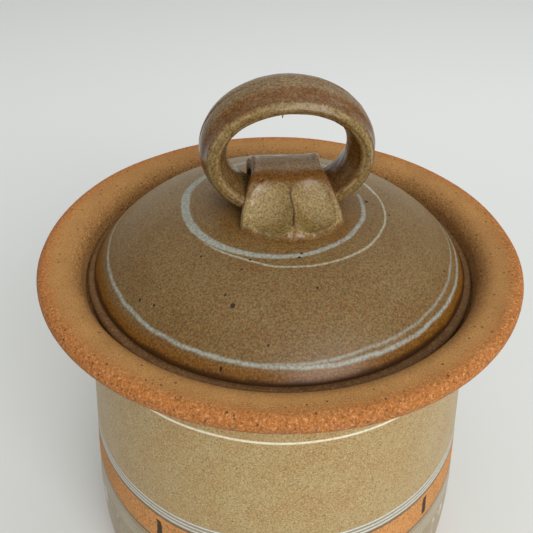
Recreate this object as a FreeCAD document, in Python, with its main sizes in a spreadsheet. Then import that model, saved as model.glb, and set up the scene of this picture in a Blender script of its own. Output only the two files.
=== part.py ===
"""A hand-thrown stoneware cookie jar with its lid, in millimetres.

The jar stands on its foot ring at the origin, +Z up. It is one thrown piece: foot, swelling
wall, flared rim and the ledge inside the rim that carries the lid. The lid is a second fired
piece: a domed cap with a flange round it, and on top a strap of clay bent into a ring, held
down by a saddle strap that goes through the ring and is pressed onto the dome with two thumb
prints at each end. The hole of the ring looks along Y.
"""
import FreeCAD, Part
import math
import os
import re

import Sketcher
from FreeCAD import Placement, Rotation, Vector

# Driving sizes. Each is one cell of the sheet, in millimetres unless the note says otherwise.
SIZES = {
    # the jar
    "jar_height": (198.0, "foot to the top of the rim"),
    "rim_radius": (115.0, "centre to the outermost point of the rim"),
    "lip_round": (4.4, "radius of the rolled edge of the rim"),
    "rim_dish": (0.8, "how far the rim's top falls from its edge to its inner shoulder"),
    "rim_shoulder": (9.0, "rounding from the rim's top down to the lid"),
    "rim_width": (19.7, "outermost point of the rim to the mouth above the ledge"),
    "gallery_step": (1.4, "how far the wall round the lid lies inside the mouth"),
    "gallery_depth": (15.5, "top of the rim down to the ledge"),
    "ledge_width": (10.4, "width of the ledge that carries the lid"),
    "ledge_depth": (4.5, "thickness of the ledge's inner edge"),
    "rim_overhang": (20.4, "outermost point of the rim to the outside of the wall under it"),
    "neck_drop": (27.0, "top of the rim down to where the wall turns out into it"),
    "cove_radius": (30.0, "hollow curve from the wall to the underside of the rim"),
    "wall_taper": (5.8, "degrees, how far the straight part of the wall spreads downwards"),
    "shoulder_height": (60.0, "lower end of the straight part of the wall"),
    "belly_height": (26.0, "widest place of the wall"),
    "foot_tuck": (4.1, "how far the wall curves in from its widest place to the foot"),
    "foot_bevel": (4.0, "trimmed bevel round the foot"),
    "foot_ring": (9.0, "width of the ring that touches the table"),
    "foot_hollow": (3.0, "depth of the hollow inside the foot ring"),
    "wall": (7.2, "thickness of the wall"),
    "floor_thickness": (9.0, "thickness of the floor"),
    "floor_curve": (13.0, "inside curve from the floor to the wall"),
    "line_width": (1.1, "width of a turned line"),
    "line_depth": (0.45, "depth of a turned line"),
    "line_pitch": (2.3, "distance between the lines of a group"),
    "neck_line": (8.8, "from where the wall turns out down to the single line under the rim"),
    "upper_lines": (95.4, "lowest line of the group above the bare band"),
    "lower_lines": (66.4, "highest line of the group below the bare band"),
    # the lid
    "lid_clearance": (0.9, "gap between the lid and the wall of the gallery"),
    "flange_thickness": (5.1, "thickness of the lid's flange"),
    "flange_round": (1.6, "rounded edge of the flange"),
    "flange_width": (3.4, "bare ring between the flange's edge and the dome"),
    "dome_step": (1.0, "small upright step where the dome leaves the flange"),
    "dome_height": (36.8, "underside of the flange to the top of the dome"),
    "crown_radius": (260.0, "radius of the flat middle of the dome"),
    "crown_reach": (50.0, "how far the flat middle reaches from the axis"),
    "dome_wall": (8.0, "thickness of the dome in its middle"),
    "ceiling_reach": (30.0, "how far the flat ceiling inside the dome reaches from the axis"),
    "seat_width": (8.5, "width of the flange's underside that rests on the ledge"),
    # the handle
    "handle_shift": (2.8, "how far the handle sits to the right of the lid's axis"),
    "ring_width": (79.0, "ring handle across, outside"),
    "ring_height": (63.4, "ring handle from bottom to top, outside"),
    "ring_sink": (6.4, "how far the ring's bottom is worked into the dome"),
    "strap_width": (27.5, "width of the ring's strap, along its hole"),
    "strap_thickness": (9.4, "thickness of the ring's strap in its middle"),
    "strap_crown": (2.2, "how far the strap's outside falls from its middle to its edges"),
    "strap_round": (2.9, "rounded edges of the strap"),
    "ridge_rise": (0.9, "height of the three lengthwise ridges on the strap"),
    "saddle_lip": (46.4, "width of the saddle's front end"),
    "saddle_tail": (34.0, "width of the saddle's back end"),
    "saddle_hollow": (1.8, "how far each long side of the saddle curves in"),
    "saddle_front": (26.5, "from the saddle's middle forward to where its front end is widest"),
    "saddle_back": (18.5, "from the saddle's middle back to where its back end is widest"),
    "saddle_tongue": (11.3, "how far the front end bulges forward past its widest place"),
    "saddle_shift": (4.0, "how far the saddle's middle lies behind the ring's middle"),
    "saddle_rise": (17.6, "top of the saddle above the top of the dome"),
    "saddle_crest": (26.0, "radius of the saddle's top, from front to back"),
    "front_slope": (28.0, "degrees, how steeply the saddle falls to the front"),
    "back_slope": (45.0, "degrees, how steeply the saddle falls to the back"),
    "saddle_corner": (5.0, "rounded corners of the saddle, seen from above"),
    "saddle_round": (2.6, "rounded long edges of the saddle"),
    "thumb_width": (16.6, "width of a thumb print"),
    "thumb_length": (33.0, "length of a thumb print"),
    "thumb_depth": (3.0, "how deep the thumb went in"),
    "thumb_round": (10.0, "roundness of the thumb, from its nail to its pad"),
    "thumb_spacing": (18.4, "distance between two thumb prints side by side"),
    "thumb_front": (23.0, "from the saddle's middle to the middle of a front thumb print"),
    "thumb_back": (19.0, "from the saddle's middle to the middle of a back thumb print"),
}

doc = FreeCAD.newDocument("CookieJar")
sheet = doc.addObject("Spreadsheet::Sheet", "Sizes")
for row, (name, (value, note)) in enumerate(SIZES.items(), start=1):
    sheet.set(f"A{row}", name)
    sheet.set(f"B{row}", str(value))
    sheet.set(f"C{row}", note)
    sheet.setAlias(f"B{row}", name)
doc.recompute()


def linked(formula):
    """Write each size name in a formula as a reference to its cell."""
    return re.sub(r"[a-z_]+", lambda word: word[0] if word[0] not in SIZES else "Sizes." + word[0], formula)


def amount(formula):
    """Work out a formula with the sizes of the sheet."""
    return float(sheet.evalExpression(linked(formula)))


def tie(thing, prop, formula):
    """Bind one property of an object to a formula of the sheet's sizes."""
    thing.setExpression(prop, linked(formula))


def new_sketch(body, name, role, shift_x="0", shift_y="0", shift_z="0"):
    """Add a sketch on one origin plane of a body, moved in that plane's own axes."""
    plane = next(item for item in body.Origin.OriginFeatures if item.Role == role)
    sketch = body.newObject("Sketcher::SketchObject", name)
    sketch.AttachmentSupport = [(plane, "")]
    sketch.MapMode = "FlatFace"
    shifts = {"x": shift_x, "y": shift_y, "z": shift_z}
    sketch.AttachmentOffset = Placement(Vector(*(amount(shift) for shift in shifts.values())), Rotation())
    for axis, shift in shifts.items():
        if shift != "0":
            tie(sketch, f"AttachmentOffset.Base.{axis}", shift)
    return sketch


class Outline:
    """A closed outline, walked corner by corner, with every corner tied to the sizes."""

    def __init__(self, sketch, across, up):
        self.sketch = sketch
        self.first = self.corner = Vector(amount(across), amount(up), 0)
        self.first_formulas = (across, up)
        self.first_end = None
        self.last_end = None

    def pin(self, end, across, up):
        """Hold one end of a piece at a place given by two formulas."""
        for formula, kind, axis in ((across, "DistanceX", -2), (up, "DistanceY", -1)):
            if formula == "0":
                self.sketch.addConstraint(Sketcher.Constraint("PointOnObject", *end, axis))
                continue
            value = amount(formula)
            index = self.sketch.addConstraint(Sketcher.Constraint(kind, -1, 1, *end, value))
            tie(self.sketch, f"Constraints[{index}]", formula)

    def add(self, piece, start, end, corner):
        """Add one line or arc that starts at the last corner, and step to its far end."""
        number = self.sketch.addGeometry(piece, False)
        if self.last_end is None:
            self.first_end = (number, start)
        else:
            self.sketch.addConstraint(Sketcher.Constraint("Coincident", *self.last_end, number, start))
        self.last_end = (number, end)
        self.corner = corner
        return number

    def line(self, across, up):
        """Go straight to a corner."""
        corner = Vector(amount(across), amount(up), 0)
        self.add(Part.LineSegment(self.corner, corner), 1, 2, corner)
        self.pin(self.last_end, across, up)
        return self

    def arc(self, across, up, radius, turn):
        """Go to a corner along an arc; turn is +1 for anticlockwise and -1 for clockwise."""
        corner = Vector(amount(across), amount(up), 0)
        size = amount(radius)
        chord = corner - self.corner
        height = math.sqrt(max(size * size - chord.Length ** 2 / 4, 0.0))
        normal = Vector(-chord.y, chord.x, 0).normalize()
        centre = (self.corner + corner) / 2 + normal * (turn * height)
        angles = [math.atan2(place.y - centre.y, place.x - centre.x) for place in (self.corner, corner)]
        circle = Part.Circle(centre, Vector(0, 0, 1), size)
        if turn > 0:
            number = self.add(Part.ArcOfCircle(circle, angles[0], angles[1]), 1, 2, corner)
        else:
            number = self.add(Part.ArcOfCircle(circle, angles[1], angles[0]), 2, 1, corner)
        self.pin(self.last_end, across, up)
        index = self.sketch.addConstraint(Sketcher.Constraint("Radius", number, size))
        tie(self.sketch, f"Constraints[{index}]", radius)
        return self

    def close(self):
        """Join the end of the outline to its first corner, with a line if they are apart."""
        if (self.corner - self.first).Length > 1e-6:
            self.line(*self.first_formulas)
        self.sketch.addConstraint(Sketcher.Constraint("Coincident", *self.last_end, *self.first_end))


def spin(body, kind, name, sketch):
    """Turn an outline a full circle round the body's own Z axis."""
    feature = body.newObject(kind, name)
    feature.Profile = sketch
    feature.ReferenceAxis = (sketch, ["V_Axis"])
    feature.Angle = 360.0
    body.Tip = feature
    return feature


def chord_radius(chord, rise):
    """Radius of a flat arc, from its chord and the height of its middle."""
    return f"((({chord}) ^ 2 / 4 + ({rise}) ^ 2) / (2 * ({rise})))"


def tangent_radius(start, end, tilt):
    """Radius of an arc that leaves its start sloping down outwards by a tilt and meets its end."""
    out = f"(({end[0]}) - ({start[0]}))"
    down = f"(({start[1]}) - ({end[1]}))"
    return f"(({out} ^ 2 + {down} ^ 2) / (2 * ({down} * cos({tilt}) - {out} * sin({tilt}))))"


# The jar's wall, as formulas that its outline, its turned lines and the lid share.
NECK_RADIUS = "(rim_radius - rim_overhang)"
NECK_HEIGHT = "(jar_height - neck_drop)"
MOUTH_RADIUS = "(rim_radius - rim_width)"
GALLERY_RADIUS = f"({MOUTH_RADIUS} - gallery_step)"
SHOULDER_RADIUS = f"({NECK_RADIUS} + ({NECK_HEIGHT} - shoulder_height) * tan(wall_taper))"
BELLY_CURVE = "((shoulder_height - belly_height) / sin(wall_taper))"
BELLY_RADIUS = f"({SHOULDER_RADIUS} + {BELLY_CURVE} * (1 - cos(wall_taper)))"
FOOT_RADIUS = f"({BELLY_RADIUS} - foot_tuck)"
FLOOR_TOP = "(foot_hollow + floor_thickness)"
LEDGE_HEIGHT = "(jar_height - gallery_depth)"
LEDGE_RADIUS = f"({GALLERY_RADIUS} - ledge_width)"

# The wall below the belly is one arc, upright at the belly and ending at the foot.
FOOT_CURVE = chord_radius("2 * (belly_height - foot_bevel)", "foot_tuck")


def wall_radius(height):
    """Outside radius of the wall at a height: straight at the top, then curved to the foot."""
    if amount(height) > amount("shoulder_height"):
        return f"({NECK_RADIUS} + ({NECK_HEIGHT} - ({height})) * tan(wall_taper))"
    curve = BELLY_CURVE if amount(height) > amount("belly_height") else FOOT_CURVE
    return f"({BELLY_RADIUS} - {curve} + sqrt({curve} ^ 2 - (({height}) - belly_height) ^ 2))"


def make_jar():
    """Throw the jar: one turned outline from the foot over the rim to the floor inside."""
    body = doc.addObject("PartDesign::Body", "Jar")
    body.Label = "jar"
    sketch = new_sketch(body, "JarOutline", "XZ_Plane")
    lip_radius = "(rim_radius - lip_round)"
    inner_bend = f"({FLOOR_TOP} + floor_curve)"
    inner_wall = f"({BELLY_RADIUS} - wall)"
    outline = Outline(sketch, "0", "foot_hollow")
    # foot ring, bevel and the outside of the wall
    outline.line(f"{FOOT_RADIUS} - foot_bevel - foot_ring - foot_hollow / 2", "foot_hollow")
    outline.line(f"{FOOT_RADIUS} - foot_bevel - foot_ring", "0")
    outline.line(f"{FOOT_RADIUS} - foot_bevel", "0")
    outline.line(FOOT_RADIUS, "foot_bevel")
    outline.arc(BELLY_RADIUS, "belly_height", FOOT_CURVE, 1)
    outline.arc(SHOULDER_RADIUS, "shoulder_height", BELLY_CURVE, 1)
    outline.line(NECK_RADIUS, NECK_HEIGHT)
    # underside of the rim, its rolled edge, its top and the shoulder down to the lid
    outline.arc(lip_radius, "jar_height - 2 * lip_round", "cove_radius", -1)
    outline.arc("rim_radius", "jar_height - lip_round", "lip_round", 1)
    outline.arc(lip_radius, "jar_height", "lip_round", 1)
    outline.line(f"{MOUTH_RADIUS} + rim_shoulder", "jar_height - rim_dish")
    outline.arc(MOUTH_RADIUS, "jar_height - rim_dish - rim_shoulder", "rim_shoulder", 1)
    # gallery wall, ledge and the inside of the wall
    outline.line(GALLERY_RADIUS, LEDGE_HEIGHT)
    outline.line(LEDGE_RADIUS, LEDGE_HEIGHT)
    outline.line(LEDGE_RADIUS, f"{LEDGE_HEIGHT} - ledge_depth")
    outline.line(f"{NECK_RADIUS} - wall", f"{NECK_HEIGHT} - ledge_depth")
    outline.line(f"{SHOULDER_RADIUS} - wall", "shoulder_height")
    outline.arc(inner_wall, inner_bend, f"{BELLY_CURVE} - wall", -1)
    outline.arc(f"{inner_wall} - floor_curve", FLOOR_TOP, "floor_curve", -1)
    outline.line("0", FLOOR_TOP)
    outline.close()
    spin(body, "PartDesign::Revolution", "ThrownJar", sketch)
    cut_turned_lines(body)
    return body


def cut_turned_lines(body):
    """Score the fine lines round the wall: one under the rim, and three each side of the band."""
    heights = [f"{NECK_HEIGHT} - neck_line"]
    heights += [f"upper_lines + {step} * line_pitch" for step in range(3)]
    heights += [f"lower_lines - {step} * line_pitch" for step in range(3)]
    sketch = new_sketch(body, "TurnedLines", "XZ_Plane")
    for height in heights:
        radius = wall_radius(height)
        outline = Outline(sketch, f"{radius} - line_depth", height)
        outline.line(f"{radius} + line_depth", f"({height}) - line_width")
        outline.line(f"{radius} + line_depth", f"({height}) + line_width")
        outline.close()
    spin(body, "PartDesign::Groove", "ScoredLines", sketch)


def make_dome():
    """Turn the dome and its flange; the two arcs of the dome meet without a crease."""
    body = doc.addObject("PartDesign::Body", "Dome")
    lid_radius = f"({GALLERY_RADIUS} - lid_clearance)"
    seat_edge = f"({lid_radius} - seat_width)"
    dome_edge = (f"({lid_radius} - flange_width)", "(flange_thickness + dome_step)")
    tilt = "asin(crown_reach / crown_radius)"
    crown_end = ("crown_reach", f"(dome_height - crown_radius + crown_radius * cos({tilt}))")
    ceiling_end = ("ceiling_reach", "(dome_height - dome_wall)")
    outline = Outline(new_sketch(body, "LidOutline", "XZ_Plane"), seat_edge, "0")
    outline.line(f"{lid_radius} - flange_round", "0")
    outline.arc(lid_radius, "flange_round", "flange_round", 1)
    outline.line(lid_radius, "flange_thickness - flange_round")
    outline.arc(f"{lid_radius} - flange_round", "flange_thickness", "flange_round", 1)
    outline.line(dome_edge[0], "flange_thickness")
    outline.line(*dome_edge)
    outline.arc(*crown_end, tangent_radius(crown_end, dome_edge, tilt), 1)
    outline.arc("0", "dome_height", "crown_radius", 1)
    outline.line("0", ceiling_end[1])
    outline.line(*ceiling_end)
    outline.arc(seat_edge, "0", tangent_radius(ceiling_end, (seat_edge, "0"), "0"), -1)
    outline.close()
    spin(body, "PartDesign::Revolution", "TurnedDome", outline.sketch)
    return body


def make_ring():
    """Bend the ring: a crowned, ridged strap swept once round an oval that sinks into the dome."""
    body = doc.addObject("PartDesign::Body", "RingStrap")
    centre_height = "(dome_height - ring_sink + ring_height / 2)"
    half_across = "((ring_width - strap_thickness) / 2)"
    half_up = "((ring_height - strap_thickness) / 2)"
    path = new_sketch(body, "RingPath", "XZ_Plane")
    centre = Vector(amount("handle_shift"), amount(centre_height), 0)
    path.addGeometry(Part.Ellipse(centre, amount(half_across), amount(half_up)), False)
    path.exposeInternalGeometry(0)
    long_axis, short_axis = 1, 2
    path.addConstraint(Sketcher.Constraint("Horizontal", long_axis))
    for kind, end, formula in (
        ("DistanceX", (-1, 1, 0, 3), "handle_shift"),
        ("DistanceY", (-1, 1, 0, 3), centre_height),
        ("Distance", (long_axis,), f"2 * {half_across}"),
        ("Distance", (short_axis,), f"2 * {half_up}"),
    ):
        index = path.addConstraint(Sketcher.Constraint(kind, *end, amount(formula)))
        tie(path, f"Constraints[{index}]", formula)

    outer = "(handle_shift + ring_width / 2)"
    ridge_foot = f"({outer} - ridge_rise - strap_crown / 9)"
    side_foot = f"({outer} - ridge_rise - strap_crown)"
    inner = f"({outer} - strap_thickness)"
    edge = "(strap_width / 2)"
    ridge = f"(({edge} - strap_round) * 2 / 3)"
    side_chord = f"sqrt({ridge} ^ 2 + ({ridge_foot} - {side_foot}) ^ 2)"
    section = new_sketch(body, "StrapSection", "XY_Plane", shift_z=centre_height)
    outline = Outline(section, f"{inner} + strap_round", f"-{edge}")
    outline.line(f"{side_foot} - strap_round", f"-{edge}")
    outline.arc(side_foot, f"strap_round - {edge}", "strap_round", 1)
    outline.arc(ridge_foot, f"-{ridge} / 2", chord_radius(side_chord, "ridge_rise"), 1)
    outline.arc(ridge_foot, f"{ridge} / 2", chord_radius(ridge, "ridge_rise"), 1)
    outline.arc(side_foot, f"{edge} - strap_round", chord_radius(side_chord, "ridge_rise"), 1)
    outline.arc(f"{side_foot} - strap_round", edge, "strap_round", 1)
    outline.line(f"{inner} + strap_round", edge)
    outline.arc(inner, f"{edge} - strap_round", "strap_round", 1)
    outline.line(inner, f"strap_round - {edge}")
    outline.arc(f"{inner} + strap_round", f"-{edge}", "strap_round", 1)
    outline.close()

    pipe = body.newObject("PartDesign::AdditivePipe", "BentStrap")
    pipe.Profile = section
    pipe.Spine = (path, ["Edge1"])
    body.Tip = pipe
    return body


def round_edges(body, name, radius, chosen):
    """Round the edges of a body's tip that a test picks out."""
    base = body.Tip
    names = [f"Edge{number}" for number, edge in enumerate(base.Shape.Edges, start=1) if chosen(edge)]
    fillet = body.newObject("PartDesign::Fillet", name)
    fillet.Base = (base, names)
    fillet.Radius = amount(radius)
    tie(fillet, "Radius", radius)
    body.Tip = fillet
    doc.recompute()


def crest_place(slope):
    """How far from the saddle's middle its rounded crest passes into a slope."""
    return f"(saddle_crest * sin({slope}))"


def crest_fall(slope):
    """How far the rounded crest has fallen where it passes into a slope."""
    return f"(saddle_crest * (1 - cos({slope})))"


def make_saddle():
    """Lay the saddle over the ring: a strap wider at its front end, arched front to back."""
    body = doc.addObject("PartDesign::Body", "Saddle")
    base = "(dome_height - dome_wall * 0.6)"
    top = "(dome_height + saddle_rise)"
    half_lip = "(saddle_lip / 2)"
    half_tail = "(saddle_tail / 2)"
    plan = new_sketch(body, "SaddlePlan", "XY_Plane", "handle_shift", "saddle_shift", base)
    side_chord = f"sqrt((saddle_front + saddle_back) ^ 2 + ({half_lip} - {half_tail}) ^ 2)"
    side = chord_radius(side_chord, "saddle_hollow")
    front_end = chord_radius("saddle_lip", "saddle_tongue")
    back_end = chord_radius("saddle_tail", "saddle_tongue * saddle_tail / saddle_lip")
    outline = Outline(plan, f"-{half_lip}", "-saddle_front")
    outline.arc(half_lip, "-saddle_front", front_end, 1)
    outline.arc(half_tail, "saddle_back", side, -1)
    outline.arc(f"-{half_tail}", "saddle_back", back_end, 1)
    outline.arc(f"-{half_lip}", "-saddle_front", side, -1)
    outline.close()
    pad = body.newObject("PartDesign::Pad", "SaddleBlock")
    pad.Profile = plan
    pad.Length = amount(f"{top} - {base}")
    tie(pad, "Length", f"{top} - {base}")
    body.Tip = pad

    front = (f"-{crest_place('front_slope')}", f"{top} - {crest_fall('front_slope')}")
    back = (crest_place("back_slope"), f"{top} - {crest_fall('back_slope')}")
    past_tip = "(saddle_front + saddle_back + saddle_lip)"
    clear = f"{top} + saddle_rise"
    arch = new_sketch(body, "SaddleArch", "YZ_Plane", shift_x="saddle_shift")
    outline = Outline(arch, f"-{past_tip}", f"{front[1]} - ({past_tip} + {front[0]}) * tan(front_slope)")
    outline.line(*front)
    outline.arc(*back, "saddle_crest", -1)
    outline.line(past_tip, f"{back[1]} - ({past_tip} - {back[0]}) * tan(back_slope)")
    outline.line(past_tip, clear)
    outline.line(f"-{past_tip}", clear)
    outline.close()
    pocket = body.newObject("PartDesign::Pocket", "SaddleTop")
    pocket.Profile = arch
    pocket.Type = "ThroughAll"
    pocket.Midplane = True
    body.Tip = pocket
    doc.recompute()

    upright = Vector(0, 0, 1)
    round_edges(body, "SaddleCorners", "saddle_corner", lambda edge: is_straight(edge, upright))
    floor = amount(base) + 0.01
    round_edges(body, "SaddleEdges", "saddle_round",
                lambda edge: edge.BoundBox.ZMin > floor and not is_straight(edge, Vector(1, 0, 0)))
    return body


def is_straight(edge, direction):
    """Tell whether an edge is a straight line along a direction."""
    if not isinstance(edge.Curve, Part.Line):
        return False
    return abs(abs(edge.tangentAt(edge.FirstParameter).dot(direction)) - 1) < 1e-6


def press_thumbs(saddle):
    """Press two thumb prints side by side into each end of the saddle, smaller at the back."""
    flattening = "sqrt(1 - (1 - thumb_depth / thumb_round) ^ 2)"
    lift = "(thumb_round - thumb_depth)"
    prints = []
    for end, slope, place, scale in (
        (-1, "front_slope", "thumb_front", "1"),
        (1, "back_slope", "thumb_back", "(saddle_tail / saddle_lip)"),
    ):
        fall = f"({crest_fall(slope)} + ({place} - {crest_place(slope)}) * tan({slope}))"
        for side in (-1, 1):
            thumb = doc.addObject("Part::Ellipsoid", "Thumb")
            thumb.Placement = Placement(Vector(), Rotation(end * 90, amount(slope) - 90, 180))
            tie(thumb, "Placement.Rotation.Pitch", f"{slope} - 90")
            tie(thumb, "Radius1", f"thumb_length * {scale} / 2 / {flattening}")
            tie(thumb, "Radius2", "thumb_round")
            tie(thumb, "Radius3", f"thumb_width * {scale} / 2 / {flattening}")
            tie(thumb, "Placement.Base.x", f"handle_shift + {side} * thumb_spacing * {scale} / 2")
            tie(thumb, "Placement.Base.y", f"saddle_shift + {end} * ({place} + {lift} * sin({slope}))")
            tie(thumb, "Placement.Base.z",
                f"dome_height + saddle_rise - {fall} + {lift} * cos({slope})")
            prints.append(thumb)
    thumbs = doc.addObject("Part::MultiFuse", "Thumbs")
    thumbs.Shapes = prints
    pressed = doc.addObject("Part::Cut", "PressedSaddle")
    pressed.Base = saddle
    pressed.Tool = thumbs
    return pressed


def join(name, base, tool):
    """Join two touching shapes into one."""
    joined = doc.addObject("Part::Fuse", name)
    joined.Base = base
    joined.Tool = tool
    joined.Refine = False
    return joined


def make_lid():
    """Join the dome, the ring and the pressed saddle into the one fired piece of the lid."""
    ringed = join("RingedDome", make_dome(), make_ring())
    lid = join("Lid", ringed, press_thumbs(make_saddle()))
    lid.Label = "lid"
    tie(lid, "Placement.Base.z", LEDGE_HEIGHT)
    return lid


def check(pieces):
    """Stop if any object of the document failed, or if a piece isn't one sound solid."""
    for item in doc.Objects:
        if "Invalid" in item.State or "Error" in item.State:
            raise RuntimeError(f"{item.Name} failed: {item.State}")
    for piece in pieces:
        if piece.Shape.isNull() or not piece.Shape.isValid() or len(piece.Shape.Solids) != 1:
            raise RuntimeError(f"{piece.Label} isn't one valid solid")


pieces = [make_jar(), make_lid()]
doc.recompute()
check(pieces)
os.makedirs("parts", exist_ok=True)
for piece in pieces:
    piece.Shape.exportStep(f"parts/{piece.Label}.step")
    print(piece.Label, "volume", round(piece.Shape.Volume / 1000), "cm3, box", piece.Shape.BoundBox)
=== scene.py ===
"""A hand-thrown stoneware cookie jar with its lid, dressed in satin glaze and bare clay.

The jar and the lid are turned from outlines, as a potter throws them. The lid's handle is a
strap of clay bent into a ring, held down by a saddle strap that goes through the ring and is
pressed onto the dome with the thumbs. Everything is in metres, in the frame of the model.
"""

import logging
import math
from collections.abc import Callable
from dataclasses import dataclass, field, replace
from enum import Enum

import bmesh
import bpy
from mathutils import Matrix, Vector, noise


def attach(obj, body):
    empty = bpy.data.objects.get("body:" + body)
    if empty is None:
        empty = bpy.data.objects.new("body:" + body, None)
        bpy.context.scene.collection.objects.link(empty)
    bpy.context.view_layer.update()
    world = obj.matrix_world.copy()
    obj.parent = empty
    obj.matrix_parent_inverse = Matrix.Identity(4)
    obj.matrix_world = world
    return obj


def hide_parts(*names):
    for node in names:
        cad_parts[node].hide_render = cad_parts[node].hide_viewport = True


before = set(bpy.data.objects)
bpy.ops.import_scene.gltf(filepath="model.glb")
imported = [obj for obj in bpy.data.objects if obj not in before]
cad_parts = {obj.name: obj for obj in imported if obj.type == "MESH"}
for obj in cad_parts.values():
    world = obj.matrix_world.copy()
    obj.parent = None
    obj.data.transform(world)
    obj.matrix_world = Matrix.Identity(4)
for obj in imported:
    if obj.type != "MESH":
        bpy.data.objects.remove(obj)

log = logging.getLogger("cookie_jar")

MM = 0.001
# name of the ring's mark for the line along its front bead that takes a painted highlight
RING_GLINT_MARK = "wear_and_glint"
SADDLE_MARKS = ("scooped", "edged", "broken", "creased")
MERGE_REACH = 1e-6

Socket = bpy.types.NodeSocket
Colour = tuple[float, float, float]
Span = tuple[float, float]
Curve = tuple[tuple[float, float], ...]
Layers = tuple[tuple[float, ...], ...]


class Slot(Enum):
    """The material slots of the record."""

    JAR = "jar_stoneware"
    LID = "lid_stoneware"


class JarFinish(Enum):
    """The finishes of the jar's faces, in the order of its materials."""

    RIM = 0
    WALL = 1
    LINER = 2
    FOOT = 3


class Turn(Enum):
    """Which way an arc of an outline bends, seen with the axis on the left."""

    LEFT = 1
    RIGHT = -1


def clamp(value: float, low: float = 0.0, high: float = 1.0) -> float:
    """Keep a value between two limits."""
    return max(low, min(high, value))


def smooth(value: float) -> float:
    """Ease a value from 0 to 1 with level ends."""
    value = clamp(value)
    return value * value * (3 - 2 * value)


def ramp(value: float, start: float, full: float) -> float:
    """Rise smoothly from 0 at the start to 1 where it is full."""
    return smooth((value - start) / (full - start))


def hump(distance: float, reach: float) -> float:
    """Height of a soft round bump.

    Args:
        distance: how far the place is from the bump's middle.
        reach: how far the bump goes.

    Returns:
        1 in the middle, falling smoothly to 0 at the reach.
    """
    return smooth(1 - abs(distance) / reach)


# --------------------------------------------------------------------------- shaders


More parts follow.
